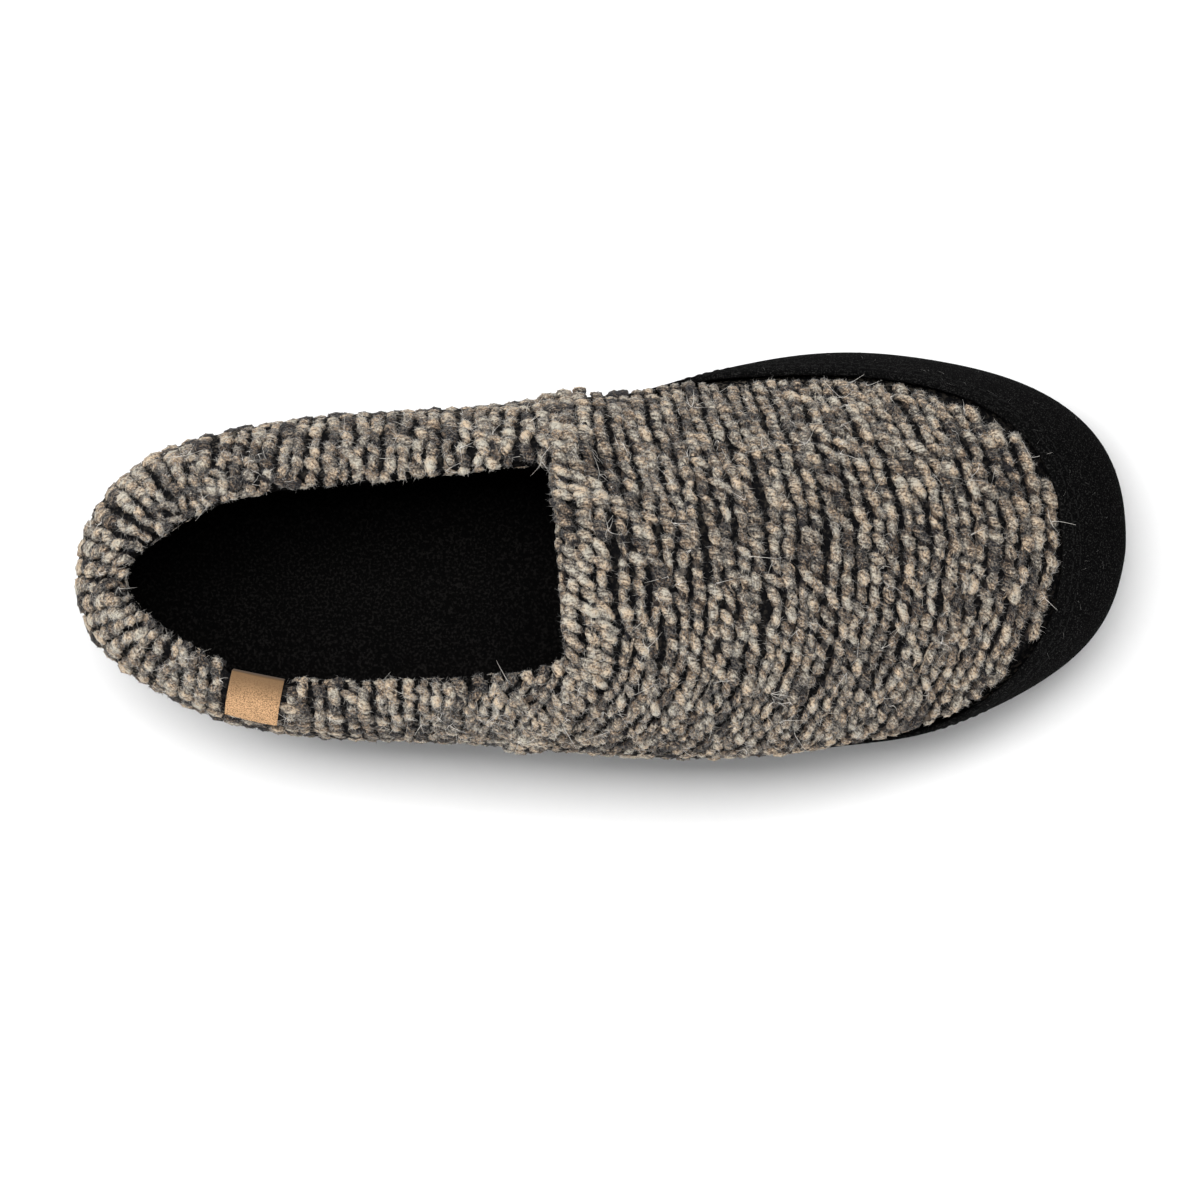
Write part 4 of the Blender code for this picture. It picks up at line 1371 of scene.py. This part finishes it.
class SLIPPER_OT_tab(bpy.types.Operator):
    """Fold the tan tab over the collar"""

    bl_idname = "slipper.tab"
    bl_label = "Collar tab"

    def execute(self, context):
        band = context.scene.slipper_band
        tab = node_copy("collar_tab", "suede_tab")
        apply_modifier(tab, "rounding", "SUBSURF", levels=2, render_levels=2, subdivision_type="SIMPLE")
        self.tuck(tab)
        ease_edges(tab, TAB_BEVEL, TAB_SHARP)
        bpy.ops.object.shade_smooth_by_angle(angle=TAB_CREASE)
        # Painted shade: lit and shaded copies of the tab's colour, mixed by a tone that is dark at the inner
        # end, where the tab turns down into the collar
        pale = tuple(min(1.0, c * TAB_LIT_FLECK) for c in band.tab)
        dim = tuple(c * TAB_SHADED_GROUND for c in band.tab)
        lit = smoothstep(*TAB_SHADE, -past_tab(surface_of(tab).points))
        write_tone(tab.data, TAB_SHADED_TONE + TAB_LIT * lit)
        suede = nap_material("tan_suede", dim, pale, 3000.0, None, 0.41, 0.05, 0.3, 0.0002)
        tab.data.materials.append(suede)
        finish_piece(tab, "tab", "collar_tab")
        return {"FINISHED"}

    def tuck(self, tab):
        """Draws the inner end of the tab back, so that it goes down into the seam of the collar."""
        points = surface_of(tab).points
        points[:, :2] -= tab_tuck(points, 0.0)
        move_points(tab, points)


class SLIPPER_OT_stage(bpy.types.Operator):
    """Set the pale floor, the softbox, the low fill light, the even light and the camera over the shoe"""

    bl_idname = "slipper.stage"
    bl_label = "Stage"

    def execute(self, context):
        scene = context.scene
        stage = scene.slipper_stage
        scene.view_settings.view_transform = "Standard"
        bpy.ops.object.select_all(action="DESELECT")
        bpy.ops.mesh.primitive_grid_add(x_subdivisions=8, y_subdivisions=8, size=FLOOR_SIZE)
        floor = bpy.context.object
        floor.name = "floor"
        floor.data.materials.append(floor_material(stage.floor))
        world = bpy.data.worlds.new("studio")
        world.use_nodes = True
        sky = world.node_tree.nodes["Background"]
        sky.inputs["Color"].default_value = (1.0, 1.0, 1.0, 1.0)
        sky.inputs["Strength"].default_value = stage.sky
        scene.world = world
        lean = math.atan2(SOFTBOX.place[1], SOFTBOX.place[2])
        self.add_panel("softbox", SOFTBOX, -lean, stage.key)
        fill = self.add_panel("low_fill", LOW_FILL, math.pi / 2 - LOW_FILL.tilt, stage.fill)
        fill.spread = LOW_FILL.spread
        bpy.ops.object.camera_add(location=(*EYE_PLACE, stage.eye_height), rotation=(0.0, 0.0, 0.0))
        camera = bpy.context.object
        camera.name = "eye"
        camera.data.sensor_width = SENSOR_WIDTH
        camera.data.lens = stage.lens
        scene.camera = camera
        return {"FINISHED"}

    def add_panel(self, name, panel, turn, strength):
        """Adds a flat light that the camera can't see, turned about the length of the shoe."""
        bpy.ops.object.light_add(type="AREA", location=panel.place, rotation=(turn, 0.0, 0.0))
        light = bpy.context.object
        light.name = name
        light.visible_camera = False
        light.data.shape = "RECTANGLE"
        light.data.size, light.data.size_y = panel.size
        light.data.energy = strength
        return light.data


STEPS = (
    SLIPPER_OT_groups,
    SLIPPER_OT_lining,
    SLIPPER_OT_knit,
    SLIPPER_OT_rand,
    SLIPPER_OT_outsole,
    SLIPPER_OT_footbed,
    SLIPPER_OT_tab,
    SLIPPER_OT_stage,
)


class SLIPPER_PT_panel(bpy.types.Panel):
    """Settings and steps of the slipper"""

    bl_idname = "SLIPPER_PT_panel"
    bl_label = "Moccasin slipper"
    bl_space_type = "VIEW_3D"
    bl_region_type = "UI"
    bl_category = "Slipper"

    def draw(self, context):
        layout = self.layout
        for group in (context.scene.slipper_knit, context.scene.slipper_band, context.scene.slipper_stage):
            box = layout.box()
            for key in group.bl_rna.properties.keys():
                if key not in ("rna_type", "name"):
                    box.prop(group, key)
        for step in STEPS:
            layout.operator(step.bl_idname)


SETTINGS = (
    ("slipper_knit", KnitSettings),
    ("slipper_band", BandSettings),
    ("slipper_stage", StageSettings),
)


def register():
    for name, kind in SETTINGS:
        bpy.utils.register_class(kind)
        setattr(bpy.types.Scene, name, bpy.props.PointerProperty(type=kind))
    for step in STEPS:
        bpy.utils.register_class(step)
    bpy.utils.register_class(SLIPPER_PT_panel)


def unregister():
    bpy.utils.unregister_class(SLIPPER_PT_panel)
    for step in reversed(STEPS):
        bpy.utils.unregister_class(step)
    for name, kind in reversed(SETTINGS):
        delattr(bpy.types.Scene, name)
        bpy.utils.unregister_class(kind)


def main():
    register()
    bpy.ops.slipper.groups()
    bpy.ops.slipper.lining()
    bpy.ops.slipper.knit()
    bpy.ops.slipper.rand()
    bpy.ops.slipper.outsole()
    bpy.ops.slipper.footbed()
    bpy.ops.slipper.tab()
    bpy.ops.slipper.stage()


if __name__ == "__main__":
    main()
